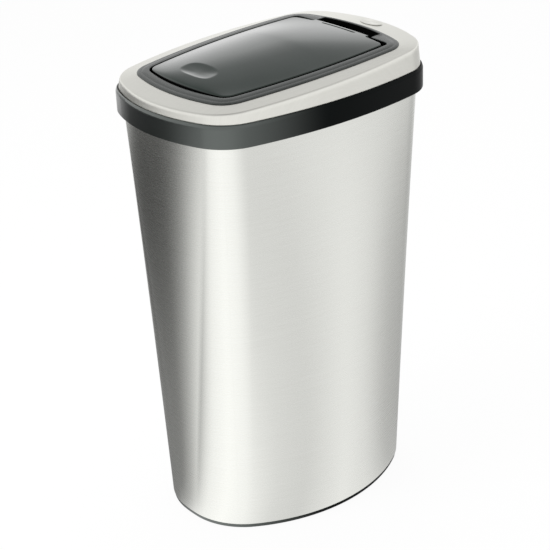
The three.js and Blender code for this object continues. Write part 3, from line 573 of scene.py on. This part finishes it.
# Painted shade: the steep walls of the bezel and the lid, the slot's and the slit's walls too, turn
# black and dull.
paint_wall_shade(bezel_plastic, BEZEL_SHINE)
paint_wall_shade(lid_plastic, LID_SHINE)
liner_plastic = moulded(
    "liner_plastic", (0.020, 0.021, 0.021), (0.028, 0.029, 0.029),
    rough=0.45, grain=1000, height=0.05 * MM, specular=0.4,
)
rubber_black = moulded(
    "rubber_black", (0.008, 0.008, 0.008), (0.014, 0.014, 0.014),
    rough=0.75, grain=700, height=0.06 * MM, specular=0.3,
)
print("plastic finishes ready")

# %% [markdown]
# ## Wire and screws
# Springs, pin and screws are drawn steel, greyer than the sheet. They are too small for lines that
# can be told apart, so the brushing group gives them a fine even grain.

# %% Drawn steel
drawn_steel, tree, shader, where = new_finish("drawn_steel", Metallic=1.0)
drawn = use(tree, brushing, Vector=stretched(tree, where, (900, 900, 900)), Breakup=0.2)
feed(
    shader,
    Base_Color=ramp(tree, drawn.outputs["Shade"], [(0, (0.42, 0.42, 0.41)), (1, (0.62, 0.62, 0.60))]),
    Roughness=remap(tree, drawn.outputs["Shade"], target=(0.22, 0.38)),
    Normal=bump(tree, drawn.outputs["Height"], 0.3, LINE_DEPTH),
)
print("drawn steel ready")

# %% [markdown]
# ## The body sleeve
# The body is one sheet of steel rolled into a tapered tube, with its top edge folded inwards and a
# flange turned in at the foot. A tube scaled at one end would taper too, but the foot's outline has
# a shape of its own. A loft between the two outlines takes each point up a straight line, as on
# rolled sheet.

# %% Loft the sleeve


def body_loop(z, inset):
    """Straight lines between the foot's outline and the collar's, read off at height z."""
    share = (z - FOOT_RISE) / (BAND_FOOT - FOOT_RISE)
    low, high = outline(foot, inset), outline(band, SLEEVE_INSET + inset)
    return np.column_stack([low + (high - low) * share, np.full(len(low), z)])


edge, flange_inset, fold_depth = 1.2 * MM, 10 * MM, 8 * MM
up = np.concatenate([[FOOT_RISE + edge], np.linspace(FOOT_RISE + 4 * MM, SLEEVE_TOP, 26)])
turn_in = [
    body_loop(FOOT_RISE + edge * (1 - math.sin(a)), edge * (1 - math.cos(a)))
    for a in np.linspace(math.pi / 2, 0, 5)[:-1]
]
fold = [
    body_loop(SLEEVE_TOP, SLEEVE_FOLD), body_loop(SLEEVE_TOP - fold_depth, SLEEVE_FOLD),
    body_loop(SLEEVE_TOP - fold_depth, SHEET),
]
down = [body_loop(z, SHEET) for z in np.linspace(SLEEVE_TOP - 9 * MM, FOOT_RISE + SHEET, 8)]
flange = [body_loop(FOOT_RISE + SHEET, flange_inset), body_loop(FOOT_RISE, flange_inset)]
sleeve = hoop("steel_sleeve", [*turn_in, *[body_loop(z, 0.0) for z in up], *fold, *down, *flange])
place(sleeve, "bin", ["body_sleeve"], sleeve_steel)

# %% [markdown]
# ## The foot ring
# A thin plastic ring keeps the steel edge off the floor. A lofted wall with a Bevel modifier could
# make it. A section with its own small roundings, carried round the foot's outline, gives the same
# edge everywhere.

# %% Carry a section round an outline


def ring(name, plan, corners, steps=6):
    """A ring: the rounded section's (inset, height) pairs, each carried round the outline."""
    return hoop(name, [loop(plan, inset, z) for inset, z in rounded(corners, steps)])


# Each corner: inset, height, radius.
foot_section = [
    (1.5 * MM, 0, 1.0 * MM), (1.5 * MM, 5.7 * MM, 0.4 * MM), (10.3 * MM, 5.7 * MM, 0),
    (10.3 * MM, 6.8 * MM, 0.2 * MM), (13 * MM, 6.8 * MM, 0.2 * MM), (13 * MM, 0, 0.6 * MM),
]
foot_ring = ring("moulded_foot_ring", foot, foot_section, 4)
place(foot_ring, "bin", ["foot_ring"], collar_plastic)

# %% [markdown]
# ## The collar
# The black collar caps the sleeve's edge. Its section has an outer skin, a lip that turns in under
# the skin to meet the steel, a web that sits on the folded edge, and a leg inside the sleeve. Four
# rings could be joined, but one section carried round gives one piece, as the mould does.

# %% Carry the collar's section round
collar_wall = 2.4 * MM
web_top, leg_foot = BAND_TOP - 6.5 * MM, BAND_FOOT - 4.7 * MM
web_foot = web_top - 3 * MM
lip_top, lip_inset = BAND_FOOT + 2.5 * MM, 8.9 * MM
leg = SLEEVE_INSET + SLEEVE_FOLD + SEAT
leg_back = leg + 2.5 * MM
collar_section = [
    (0, BAND_FOOT, 1.4 * MM), (0, BAND_TOP - 4.5 * MM, 8 * MM),
    (1.3 * MM, BAND_TOP - 0.6 * MM, 1.8 * MM), (2.9 * MM, BAND_TOP, 0.4 * MM),
    (2.9 * MM, web_top, 0.3 * MM), (leg_back, web_top, 0.5 * MM),
    (leg_back, leg_foot, 0.8 * MM), (leg, leg_foot, 0.8 * MM), (leg, web_foot, 0),
    (collar_wall, web_foot, 0), (collar_wall, lip_top, 0), (lip_inset, lip_top, 0),
    (lip_inset, BAND_FOOT, 0.3 * MM),
]
collar = ring("collar_skin", band, collar_section, 8)
place(collar, "bin", ["collar_band"], collar_plastic)

# %% [markdown]
# ## The steel trim
# The trim is one pressing: a skirt that starts just inside the collar's mouth and leans inwards, a
# tight shoulder, and a broad brow that rises to the bezel. A bevel could round a plain box's
# shoulder, but here it has to follow the head's slope. So each row of points takes its height from
# the shoulder's line, and the brow runs straight between two different outlines.

# %% Press the trim
SKIRT, SHOULDER, EDGE = 3.1 * MM, 6.3 * MM, 2.6 * MM
LEAN, TURNED = math.radians(14), math.radians(84)
UNDER, LAP = 2.1 * MM, 5 * MM
TRIM_FOOT = BAND_TOP - 5.5 * MM


def trim_side(depth):
    """Rows of one side of the sheet, depth under its outer face: leaning skirt, a round of
    radius EDGE, the straight brow, and the lap under the bezel."""
    rows = []
    for t in np.linspace(0, 1, 6):
        top = lambda y, t=t: TRIM_FOOT + (shoulder_z(y) - EDGE * (1 - math.sin(LEAN)) - TRIM_FOOT) * t
        rows.append(loop(band, SKIRT + (SHOULDER - SKIRT) * t + depth, top))
    r = EDGE - depth
    for a in np.linspace(LEAN, TURNED, 9)[1:]:
        top = lambda y, a=a: shoulder_z(y) - EDGE + r * math.sin(a)
        rows.append(loop(band, SHOULDER + EDGE - r * math.cos(a), top))
    brow_top = lambda y: bezel_z(y) - UNDER - depth
    low, high = rows[-1], loop(bezel, 0, brow_top)
    rows += [low + (high - low) * t for t in np.linspace(0, 1, 14)[1:]]
    return rows + [loop(bezel, LAP, brow_top)]


trim = hoop("pressed_trim", trim_side(0) + trim_side(SHEET)[::-1])
place(trim, "head", ["head_trim"], trim_steel)

# %% [markdown]
# ## Edges that step in and out
# The lid has a tongue at its hinge end, and the bezel's opening has a slot behind it, so their
# edges aren't plain outlines. A boolean cut could make the steps, but not their small roundings. So
# each edge is worked out for the right half: the outline as far as the step, then the step with its
# corners rounded, then the mirror image.

# %% Paths with a step at the rear


def stepped_path(plan, inset, step, rear, rounding):
    """An outline with a step outwards at the rear, at half width step. rear gives the far edge's y
    for each x, from the step to the middle."""
    flat = outline(plan, inset, 2)
    right = flat[: len(flat) // 2 + 1]
    cut = int(np.argmax((right[:, 1] > plan["widest"]) & (right[:, 0] < step)))
    p, q = right[cut - 1], right[cut]
    share = (p[0] - step) / (p[0] - q[0])
    corner = p + (q - p) * share
    xs = step * np.concatenate([[1.0], np.linspace(0.93, 0, 24)])
    far = np.column_stack([xs, rear(xs)])
    inside = turn_corner(p, corner, far[0], rounding)
    outside = turn_corner(corner, far[0], far[1], rounding)
    keep = right[:cut]
    keep = keep[np.linalg.norm(keep - corner, axis=1) > 1.5 * rounding]
    rest = far[far[:, 0] < outside[-1, 0]]
    half_path = np.vstack([keep, inside, outside, rest])
    return np.vstack([half_path, half_path[1:-1][::-1] * [-1, 1]])


# TONGUE and SLOT are half widths.
TONGUE, TONGUE_REAR, TONGUE_ROUND = 55 * MM, 128.3 * MM, 2.0 * MM
SLOT, SLOT_RIM, SLOT_ROUND = 57.6 * MM, 8.9 * MM, 1.8 * MM
OPENING_REAR, OPENING_CORNER = 130.5 * MM, 9 * MM


def tongue_edge(x):
    """The tongue's far edge: straight across."""
    return np.full(len(x), TONGUE_REAR)


def slot_edge(x):
    """The slot's far edge: an arc that keeps its distance from the bezel's outer edge."""
    radius = bezel["end"] - SLOT_RIM
    return bezel["rear"] - SLOT_RIM - radius + np.sqrt(radius**2 - x**2)


lid_edge = stepped_path(lid, 0, TONGUE, tongue_edge, TONGUE_ROUND)
opening = dict(bezel, rear=OPENING_REAR + RIM, rear_corner=OPENING_CORNER + RIM)
opening["rear_end"] = lid["rear_end"] + RIM
opening_edge = stepped_path(opening, RIM, SLOT, slot_edge, SLOT_ROUND)
print("lid edge", len(lid_edge), "opening", len(opening_edge))

# %% [markdown]
# ## The bezel
# A dark moulded ring frames the lid. Its face is faintly arched and highest at the opening, its
# outer edge rolls over onto the steel, and behind the lid it widens into a plateau that the slot is
# cut through. The opening could be cut out of a plate, but a cut leaves uneven faces that shine
# badly. Each ray from the middle meets both edges once, so the face is drawn along such rays.

# %% Mould the bezel


def along_normal(path, distance):
    """The path moved sideways by a distance, to the left of its run: the normal is the run between
    the neighbours, turned by a right angle."""
    run = np.roll(path, -1, 0) - np.roll(path, 1, 0)
    run /= np.linalg.norm(run, axis=1)[:, None]
    return path + distance * np.column_stack([-run[:, 1], run[:, 0]])


def by_angle(target, like):
    """Points on the target outline at the angles, round the origin, of the points of another."""
    angle = np.unwrap(np.arctan2(target[:, 1], target[:, 0]))
    wanted = np.unwrap(np.arctan2(like[:, 1], like[:, 0]))
    wanted += 2 * math.pi * np.round((angle[0] - wanted[0]) / (2 * math.pi))
    radius = np.interp(wanted, angle, np.linalg.norm(target, axis=1), period=2 * math.pi)
    return radius[:, None] * np.column_stack([np.cos(wanted), np.sin(wanted)])


def at_height(flat, drop):
    """Flat points lifted to the bezel's top face, less a drop."""
    return np.column_stack([flat, bezel_z(flat[:, 1]) - drop])


def arched(flat, share, drop):
    """Points on the bezel's arched face: the rise is CREST at the opening and falls as the
    third power of the share of the way out. A drop takes them below the face."""
    return np.column_stack([flat, bezel_z(flat[:, 1]) + CREST * (1 - share**3) - drop])


OVERHANG, LIP, ROLL, ROLL_DROP = 0.4 * MM, 0.9 * MM, 6 * MM, 1.8 * MM
BEZEL_DEPTH, BEZEL_WALL, BEZEL_PLATE = 12 * MM, 2.2 * MM, 3.2 * MM
FLAT_FROM, TRIM_PLAY = 0.3 * MM, 0.1 * MM
rows = [arched(opening_edge, 0, BEZEL_DEPTH), arched(opening_edge, 0, BEZEL_DEPTH / 2)]
for a in np.linspace(0, math.pi / 2, 6):
    lip_row = along_normal(opening_edge, -LIP * (1 - math.cos(a)))
    rows.append(arched(lip_row, 0, LIP * (1 - math.sin(a))))
near = along_normal(opening_edge, -LIP - FLAT_FROM)
far = by_angle(outline(bezel, OVERHANG + ROLL + FLAT_FROM, 4), near)
rows += [arched(near + (far - near) * t, t, 0) for t in np.linspace(0, 1, 12)]
for a in np.linspace(0, math.pi / 2, 8):
    edge_row = by_angle(outline(bezel, OVERHANG + ROLL * (1 - math.sin(a)), 4), near)
    rows.append(at_height(edge_row, ROLL_DROP * (1 - math.cos(a))))
foot_row = by_angle(outline(bezel, OVERHANG, 4), near)
step_in = by_angle(outline(bezel, LAP + SEAT, 4), near)
under = along_normal(opening_edge, -BEZEL_WALL)
rows += [at_height(foot_row, UNDER - TRIM_PLAY), at_height(step_in, UNDER - TRIM_PLAY)]
rows += [at_height(step_in, BEZEL_PLATE), at_height(under, BEZEL_PLATE)]
rows.append(at_height(under, BEZEL_DEPTH))
bezel_ring = hoop("moulded_bezel", rows)
place(bezel_ring, "head", ["lid_bezel"], bezel_plastic)

# %% [markdown]
# ## The lid
# The lid is a pillow, nearly flat on top, that falls ever faster to its sides and its front and
# runs out gently to the hinge's tongue. It could be sculpted, but a formula keeps it smooth and easy
# to change. A height over the bezel's line is worked out for every point of a grid of rings round
# the dome's pole. The finger press is a bowl taken away from that height, and the slit is a fine
# groove across the tongue's root.

# %% Height of the lid's top
CROWN, EDGE_RISE, TONGUE_RISE = 16 * MM, 1.7 * MM, 3.9 * MM
CREST_Y = 19.4 * MM
POLE = np.array([0.0, -10 * MM])
SIDE_POWER, SIDE_FALL = 2.12, 1.13
FRONT_POWER, FRONT_FALL = 3.46, 0.42
REAR_FALL, CREST_SOFT = 0.72, 0.02
PRESS = {
    "y": -117.5 * MM, "half_x": 32 * MM, "half_y": 15.5 * MM, "depth": 3.6 * MM,
    "outline": 2.8, "bowl": 2.2, "soft": 0.06,
}
SLIT_Y, SLIT_HALF, SLIT_WIDTH, SLIT_DEPTH = 121 * MM, 33 * MM, 4 * MM, 2.6 * MM
SLIT_WALL = 0.5 * MM


def smooth_step(value):
    """0 below 0, 1 above 1, and 3 t^2 - 2 t^3 between."""
    t = np.clip(value, 0, 1)
    return t * t * (3 - 2 * t)


def press_bowl(x, y):
    """Share of the finger press's depth. Its outline is a superellipse, x^p + y^p = 1, p being the
    power PRESS["outline"]. Inside it the bowl goes down as 1 less the share of the way out to the
    power PRESS["bowl"]. Close to the outline, the square of that depth over itself plus
    PRESS["soft"] rounds the edge."""
    power = PRESS["outline"]
    across, along = x / PRESS["half_x"], (y - PRESS["y"]) / PRESS["half_y"]
    reach = (np.abs(across) ** power + np.abs(along) ** power) ** (1 / power)
    share = np.clip(1 - reach ** PRESS["bowl"], 0, 1)
    return share**2 / (share + PRESS["soft"])


def slit_groove(x, y):
    """Share of the slit's depth: steep walls along its two long edges and at its ends."""
    across = smooth_step((SLIT_WIDTH / 2 - np.abs(y - SLIT_Y)) / SLIT_WALL)
    return across * smooth_step((SLIT_HALF - np.abs(x)) / SLIT_WALL)


def rear_fall(share):
    """The squared share of the way from the crest to the tongue's rear, to the power REAR_FALL.
    CREST_SOFT is added to the square, so that the crest has no crease, and the whole is brought
    back to 0 to 1."""
    low, high = CREST_SOFT**REAR_FALL, (1 + CREST_SOFT) ** REAR_FALL
    return ((share**2 + CREST_SOFT) ** REAR_FALL - low) / (high - low)


def lid_height(flat):
    """Height over the bezel's line: EDGE_RISE at the edge, plus the spine's height times two falls
    of the form (1 - share^power)^fall. One share is the way across to the side arc, the other the
    way from the crest to the end arc in front. Behind the crest the spine itself sinks from CROWN to
    TONGUE_RISE by rear_fall. The press and the slit are taken away."""
    x, y = flat[:, 0], flat[:, 1]
    side = lid["half"] - lid["side"] + np.sqrt(lid["side"] ** 2 - (y - lid["widest"]) ** 2)
    end = -lid["front"] + lid["end"] - np.sqrt(lid["end"] ** 2 - x**2)
    across = (1 - np.clip(np.abs(x) / side, 0, 1) ** SIDE_POWER) ** SIDE_FALL
    ahead = np.clip((CREST_Y - y) / (CREST_Y - end), 0, 1)
    behind = rear_fall(np.clip((y - CREST_Y) / (TONGUE_REAR - CREST_Y), 0, 1))
    spine = CROWN * (1 - behind) + TONGUE_RISE * behind - EDGE_RISE
    height = EDGE_RISE + spine * across * (1 - ahead**FRONT_POWER) ** FRONT_FALL
    return height - PRESS["depth"] * press_bowl(x, y) - SLIT_DEPTH * slit_groove(x, y)


ends = np.array([[0, -105 * MM], [0, 0.0], [0, 100 * MM], [0, 118 * MM], [80 * MM, 115 * MM]])
print("heights at the front, middle, rear, root and rear corner:", (lid_height(ends) / MM).round(1))

# %% Mould the lid's shell
# The rings lie closer together where the dome bends more.
ROUND, LID_SKIRT, LID_WALL, LID_THICK = 1.2 * MM, 5.6 * MM, 1.8 * MM, 2.5 * MM
shares = np.concatenate([
    np.linspace(0.04, 0.56, 18, endpoint=False),
    np.linspace(0.56, 0.92, 48, endpoint=False),
    np.linspace(0.92, 0.985, 28),
])
rows = [POLE + (lid_edge - POLE) * share for share in shares]
turns = np.linspace(0, math.pi / 2, 7)
rows += [along_normal(lid_edge, ROUND * (1 - math.sin(a))) for a in turns]
drops = [0.0] * len(shares) + [ROUND * (1 - math.cos(a)) for a in turns]
tops = [
    np.column_stack([flat, bezel_z(flat[:, 1]) + lid_height(flat) - drop])
    for flat, drop in zip(rows, drops)
]
edge_z = tops[-1][:, 2]
foot_z = bezel_z(lid_edge[:, 1]) - LID_SKIRT
for t in (0.15, 0.5, 1.0):
    tops.append(np.column_stack([lid_edge, edge_z + (foot_z - edge_z) * t]))
inward = along_normal(lid_edge, LID_WALL)
tops.append(np.column_stack([inward, foot_z]))
tops.append(np.column_stack([inward, bezel_z(inward[:, 1]) - LID_THICK]))
pole_z = bezel_z(POLE[1])
lid_shell = capped("domed_lid", tops, [*POLE, pole_z + CROWN], [*POLE, pole_z - LID_THICK], 50)
place(lid_shell, "lid", ["lid_cover"], lid_plastic)

# %% [markdown]
# ## The plate behind the bezel
# A small plain oval plate lies on the brow behind the bezel. It is a low lens of rings that shrink
# towards its middle. A flattened ball would look alike, but it wouldn't lie on the brow's slope
# with an even edge.

# %% Shape the plate
PLATE_X, PLATE_Y = 20 * MM, 11 * MM
brow_z = bezel_z(bezel["rear"]) - UNDER
brow_length = SHOULDER_REACH - bezel["rear"]
brow_slope = (shoulder_z(SHOULDER_REACH) - brow_z) / brow_length
plate_at = brow_length * 0.6


def plate_ring(share, rise):
    """An ellipse of this share of the plate's size, laid on the brow's slope at this rise."""
    a = np.linspace(0, 2 * math.pi, 64, endpoint=False)
    x, y = PLATE_X * share * np.cos(a), PLATE_Y * share * np.sin(a)
    height = brow_z + brow_slope * (plate_at + y) + rise
    return np.column_stack([x, bezel["rear"] + plate_at + y, height])


plate_rows = [plate_ring(0.6, 0.25 * MM), plate_ring(0.985, 0.25 * MM), plate_ring(1.0, 0.4 * MM)]
for a in np.linspace(0.2, math.pi / 2, 5):
    plate_rows.append(plate_ring(1 - 0.03 * math.sin(a), (0.6 + 0.45 * math.sin(a)) * MM))
plate_rows += [plate_ring(s, (1.05 + 0.25 * (1 - s * s)) * MM) for s in (0.9, 0.6, 0.3)]
plate = capped("rear_plate", plate_rows, plate_rows[0].mean(0), plate_rows[-1].mean(0))
place(plate, "head", ["rear_disc"], trim_steel)

# %% [markdown]
# ## Finishes for the pieces inside
# The pan, the frame, the latch, the springs and the screws show only when the bin is open or
# lifted. They could be drawn again too, but their CAD shapes are fine for that, and a finish is
# enough.

# %% Dress the inner pieces
inside = {
    inner_plastic: ["floor_pan", "head_frame", "latch_housing"],
    liner_plastic: ["lid_liner", "latch_striker"],
    bezel_plastic: ["latch_plunger"],
    rubber_black: ["lid_bumper_left", "lid_bumper_right"],
}
for finish, names in inside.items():
    for name in names:
        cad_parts[name].material_slots[0].material = finish
metal = [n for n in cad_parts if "screw" in n or "spring" in n or n == "hinge_pin"]
for name in metal:
    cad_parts[name].material_slots[0].material = drawn_steel
print("dressed", sum(len(v) for v in inside.values()) + len(metal), "inner pieces")

# %% [markdown]
# ## The floor
# The floor is a plain pale sheet that the camera sees as nearly white, with the bin's own shadow.
# Brushed steel is a mirror, so its light and dark come from what stands round it. A studio's pale
# and dark cards could be modelled as sheets. Here the floor shows them, to mirrored rays only, as
# ramps over the way round the bin, one for near and one for far.

# %% Floor material and its directions
floor_mat = bpy.data.materials.new("studio_floor")
floor_mat.use_nodes = True
tree = floor_mat.node_tree
tree.nodes.clear()
path = node(tree, "ShaderNodeLightPath")
where = node(tree, "ShaderNodeTexCoord").outputs["Object"]
moved = {"Vector": where, "Location": (-0.02, 0.12, 0)}
turned = node(tree, "ShaderNodeMapping", moved).outputs["Vector"]
around = node(tree, "ShaderNodeTexGradient", {"Vector": turned}, gradient_type="RADIAL")
around = around.outputs["Fac"]
away = node(tree, "ShaderNodeVectorMath", {0: turned}, operation="LENGTH").outputs["Value"]
CARD_GLOW = 1.25


def by_azimuth(stops, top=CARD_GLOW):
    """A ramp over the way round, from stops of (degrees, level) with levels up to top."""
    return ramp(tree, around, [((a + 180) / 360, (v / top,) * 3) for a, v in stops])


def by_distance(start, stop):
    """A smooth share, 0 nearer than start and 1 beyond stop, in metres."""
    return remap(tree, away, (start, stop), interpolation_type="SMOOTHSTEP")


def mix_shaders(tree, factor, first, second):
    """One node's shader where the factor is 0, and another's where it is 1."""
    inputs = {"Fac": factor, 1: first.outputs[0], 2: second.outputs[0]}
    return node(tree, "ShaderNodeMixShader", inputs)


print("cards glow up to", CARD_GLOW)

# %% Cards that only mirrored rays see
CARDS = [
    (-180, 0.24), (-160, 0.22), (-140, 0.24), (-122, 0.50), (-106, 0.86), (-92, 1.06), (-60, 1.20),
    (-30, 1.10), (0, 0.82), (20, 0.75), (45, 0.96), (58, 0.84), (72, 0.55), (88, 0.45), (115, 0.62),
    (140, 1.05), (160, 1.0), (172, 0.30),
]
FAR_CARDS = [
    (-180, 0.55), (-165, 0.14), (-125, 0.10), (-112, 0.28), (-98, 0.66), (-84, 0.98), (-40, 1.05),
    (0, 0.86), (30, 0.84), (60, 0.80), (90, 0.58), (125, 1.0), (150, 0.85), (172, 0.75),
]
DARK_SIDE = [(-180, 1.0), (-122, 1.0), (-90, 0.0), (150, 0.0), (175, 1.0)]
dark = product(tree, by_azimuth(DARK_SIDE, 1), by_distance(0.2, 1.8))
deeper = {"Color": by_azimuth(CARDS), "Gamma": remap(tree, dark, target=(1.0, 2.1))}
near_cards = node(tree, "ShaderNodeGamma", deeper).outputs["Color"]
blend = {"Factor": by_distance(1.4, 2.0), 6: near_cards, 7: by_azimuth(FAR_CARDS)}
both_cards = node(tree, "ShaderNodeMix", blend, data_type="RGBA").outputs[2]
cards = node(tree, "ShaderNodeEmission", {"Color": both_cards, "Strength": CARD_GLOW})
print("cards:", len(CARDS), "near,", len(FAR_CARDS), "far")

# %% Floor
WHITE_SHARE = 0.93
matte = node(tree, "ShaderNodeBsdfDiffuse", {"Color": (0.9, 0.9, 0.9, 1)})
glow = node(tree, "ShaderNodeEmission", {"Color": (1, 1, 1, 1), "Strength": 1.0})
whitened = product(tree, path.outputs["Is Camera Ray"], WHITE_SHARE)
seen = mix_shaders(tree, whitened, matte, glow)
both = mix_shaders(tree, path.outputs["Is Glossy Ray"], seen, cards)
feed(node(tree, "ShaderNodeOutputMaterial"), Surface=both.outputs[0])
floor_mesh = bpy.data.meshes.new("studio_floor")
FLOOR_HALF = 9
corners = [(-1, -1), (1, -1), (1, 1), (-1, 1)]
floor_mesh.from_pydata([(FLOOR_HALF * x, FLOOR_HALF * y, 0) for x, y in corners], [], [(0, 1, 2, 3)])
floor = bpy.data.objects.new("studio_floor", floor_mesh)
floor.data.materials.append(floor_mat)
bpy.context.scene.collection.objects.link(floor)
print("floor", 2 * FLOOR_HALF, "m across")

# %% [markdown]
# ## World and lamps
# The world is a soft white tent. One colour for all rays would do for the plastics, but the domed
# lid and the steel mirror the tent's height as bands. So mirrored rays see it by a ramp that darkens
# upwards. Two large lamps give the shadow its direction, and aren't mirrored themselves.

# %% World
world = bpy.data.worlds.new("white_tent")
bpy.context.scene.world = world
world.use_nodes = True
tree = world.node_tree
tree.nodes.clear()
path = node(tree, "ShaderNodeLightPath")
sky = node(tree, "ShaderNodeTexCoord").outputs["Generated"]
height = node(tree, "ShaderNodeSeparateXYZ", {"Vector": sky}).outputs["Z"]
TENT = [(0, 1), (0.36, 1), (0.46, 0.78), (0.56, 0.67), (0.68, 0.74), (0.82, 0.62), (1, 0.35)]
tent = ramp(tree, height, [(place_at, (level,) * 3) for place_at, level in TENT])
soft = node(tree, "ShaderNodeBackground", {"Color": (1, 1, 1, 1), "Strength": 0.7})
white = node(tree, "ShaderNodeBackground", {"Color": (1, 1, 1, 1), "Strength": 1.0})
mirror = node(tree, "ShaderNodeBackground", {"Color": tent, "Strength": 1.0})
first = mix_shaders(tree, path.outputs["Is Camera Ray"], soft, white)
both = mix_shaders(tree, path.outputs["Is Glossy Ray"], first, mirror)
feed(node(tree, "ShaderNodeOutputWorld"), Surface=both.outputs[0])
print("world ready")

# %% Lamps


def softbox(name, place_at, aim, width, height, power):
    """A rectangular lamp at one point that looks at another, which shiny pieces don't mirror."""
    lamp = bpy.data.lights.new(name, "AREA")
    lamp.shape, lamp.size, lamp.size_y, lamp.energy = "RECTANGLE", width, height, power
    made = bpy.data.objects.new(name, lamp)
    made.rotation_euler = (Vector(aim) - Vector(place_at)).to_track_quat("-Z", "Y").to_euler()
    made.location = place_at
    made.visible_glossy = made.visible_camera = False
    bpy.context.scene.collection.objects.link(made)
    return made


softbox("key_softbox", (-0.5, -2.3, 1.5), (0, 0, 0.4), 1.2, 1.2, 34)
softbox("top_softbox", (-0.6, 0.6, 2.6), (0, 0, 0.5), 1.8, 1.8, 24)
print("two lamps")

# %% [markdown]
# ## Camera
# The camera stands where the photographer's stood. It could be placed by eye. Its direction,
# distance and lens were fitted instead, so that the outlines of the collar, the head and the foot
# fall where they do in the photograph.

# %% Camera
AZIMUTH, ELEVATION, ROLL_ANGLE, DISTANCE = 51.741, 26.039, -2.346, 2.280635
AIM = np.array([0, 0, 0.297876])
PICTURE, FOCAL, CENTRE_X, CENTRE_Y = 550, 1594.226, 279.541, 290.17
SENSOR = 36
az, el, tilt = (math.radians(v) for v in (AZIMUTH, ELEVATION, ROLL_ANGLE))
back = np.array([math.sin(az) * math.cos(el), -math.cos(az) * math.cos(el), math.sin(el)])
level_right = np.array([math.cos(az), math.sin(az), 0.0])
level_up = np.cross(back, level_right)
right = math.cos(tilt) * level_right + math.sin(tilt) * level_up
up_axis = math.cos(tilt) * level_up - math.sin(tilt) * level_right
eye = AIM + back * DISTANCE
camera_data = bpy.data.cameras.new("camera")
camera_data.sensor_fit, camera_data.sensor_width = "HORIZONTAL", SENSOR
camera_data.lens = FOCAL / PICTURE * SENSOR
camera_data.shift_x = (PICTURE / 2 - CENTRE_X) / PICTURE
camera_data.shift_y = (CENTRE_Y - PICTURE / 2) / PICTURE
camera = bpy.data.objects.new("camera", camera_data)
rotation = Matrix([[right[k], up_axis[k], back[k]] for k in range(3)])
camera.matrix_world = Matrix.Translation(eye.tolist()) @ rotation.to_4x4()
bpy.context.scene.collection.objects.link(camera)
bpy.context.scene.camera = camera
bpy.context.scene.view_settings.view_transform = "Standard"
print("lens", round(camera_data.lens, 2), "mm, camera at", eye.round(3))
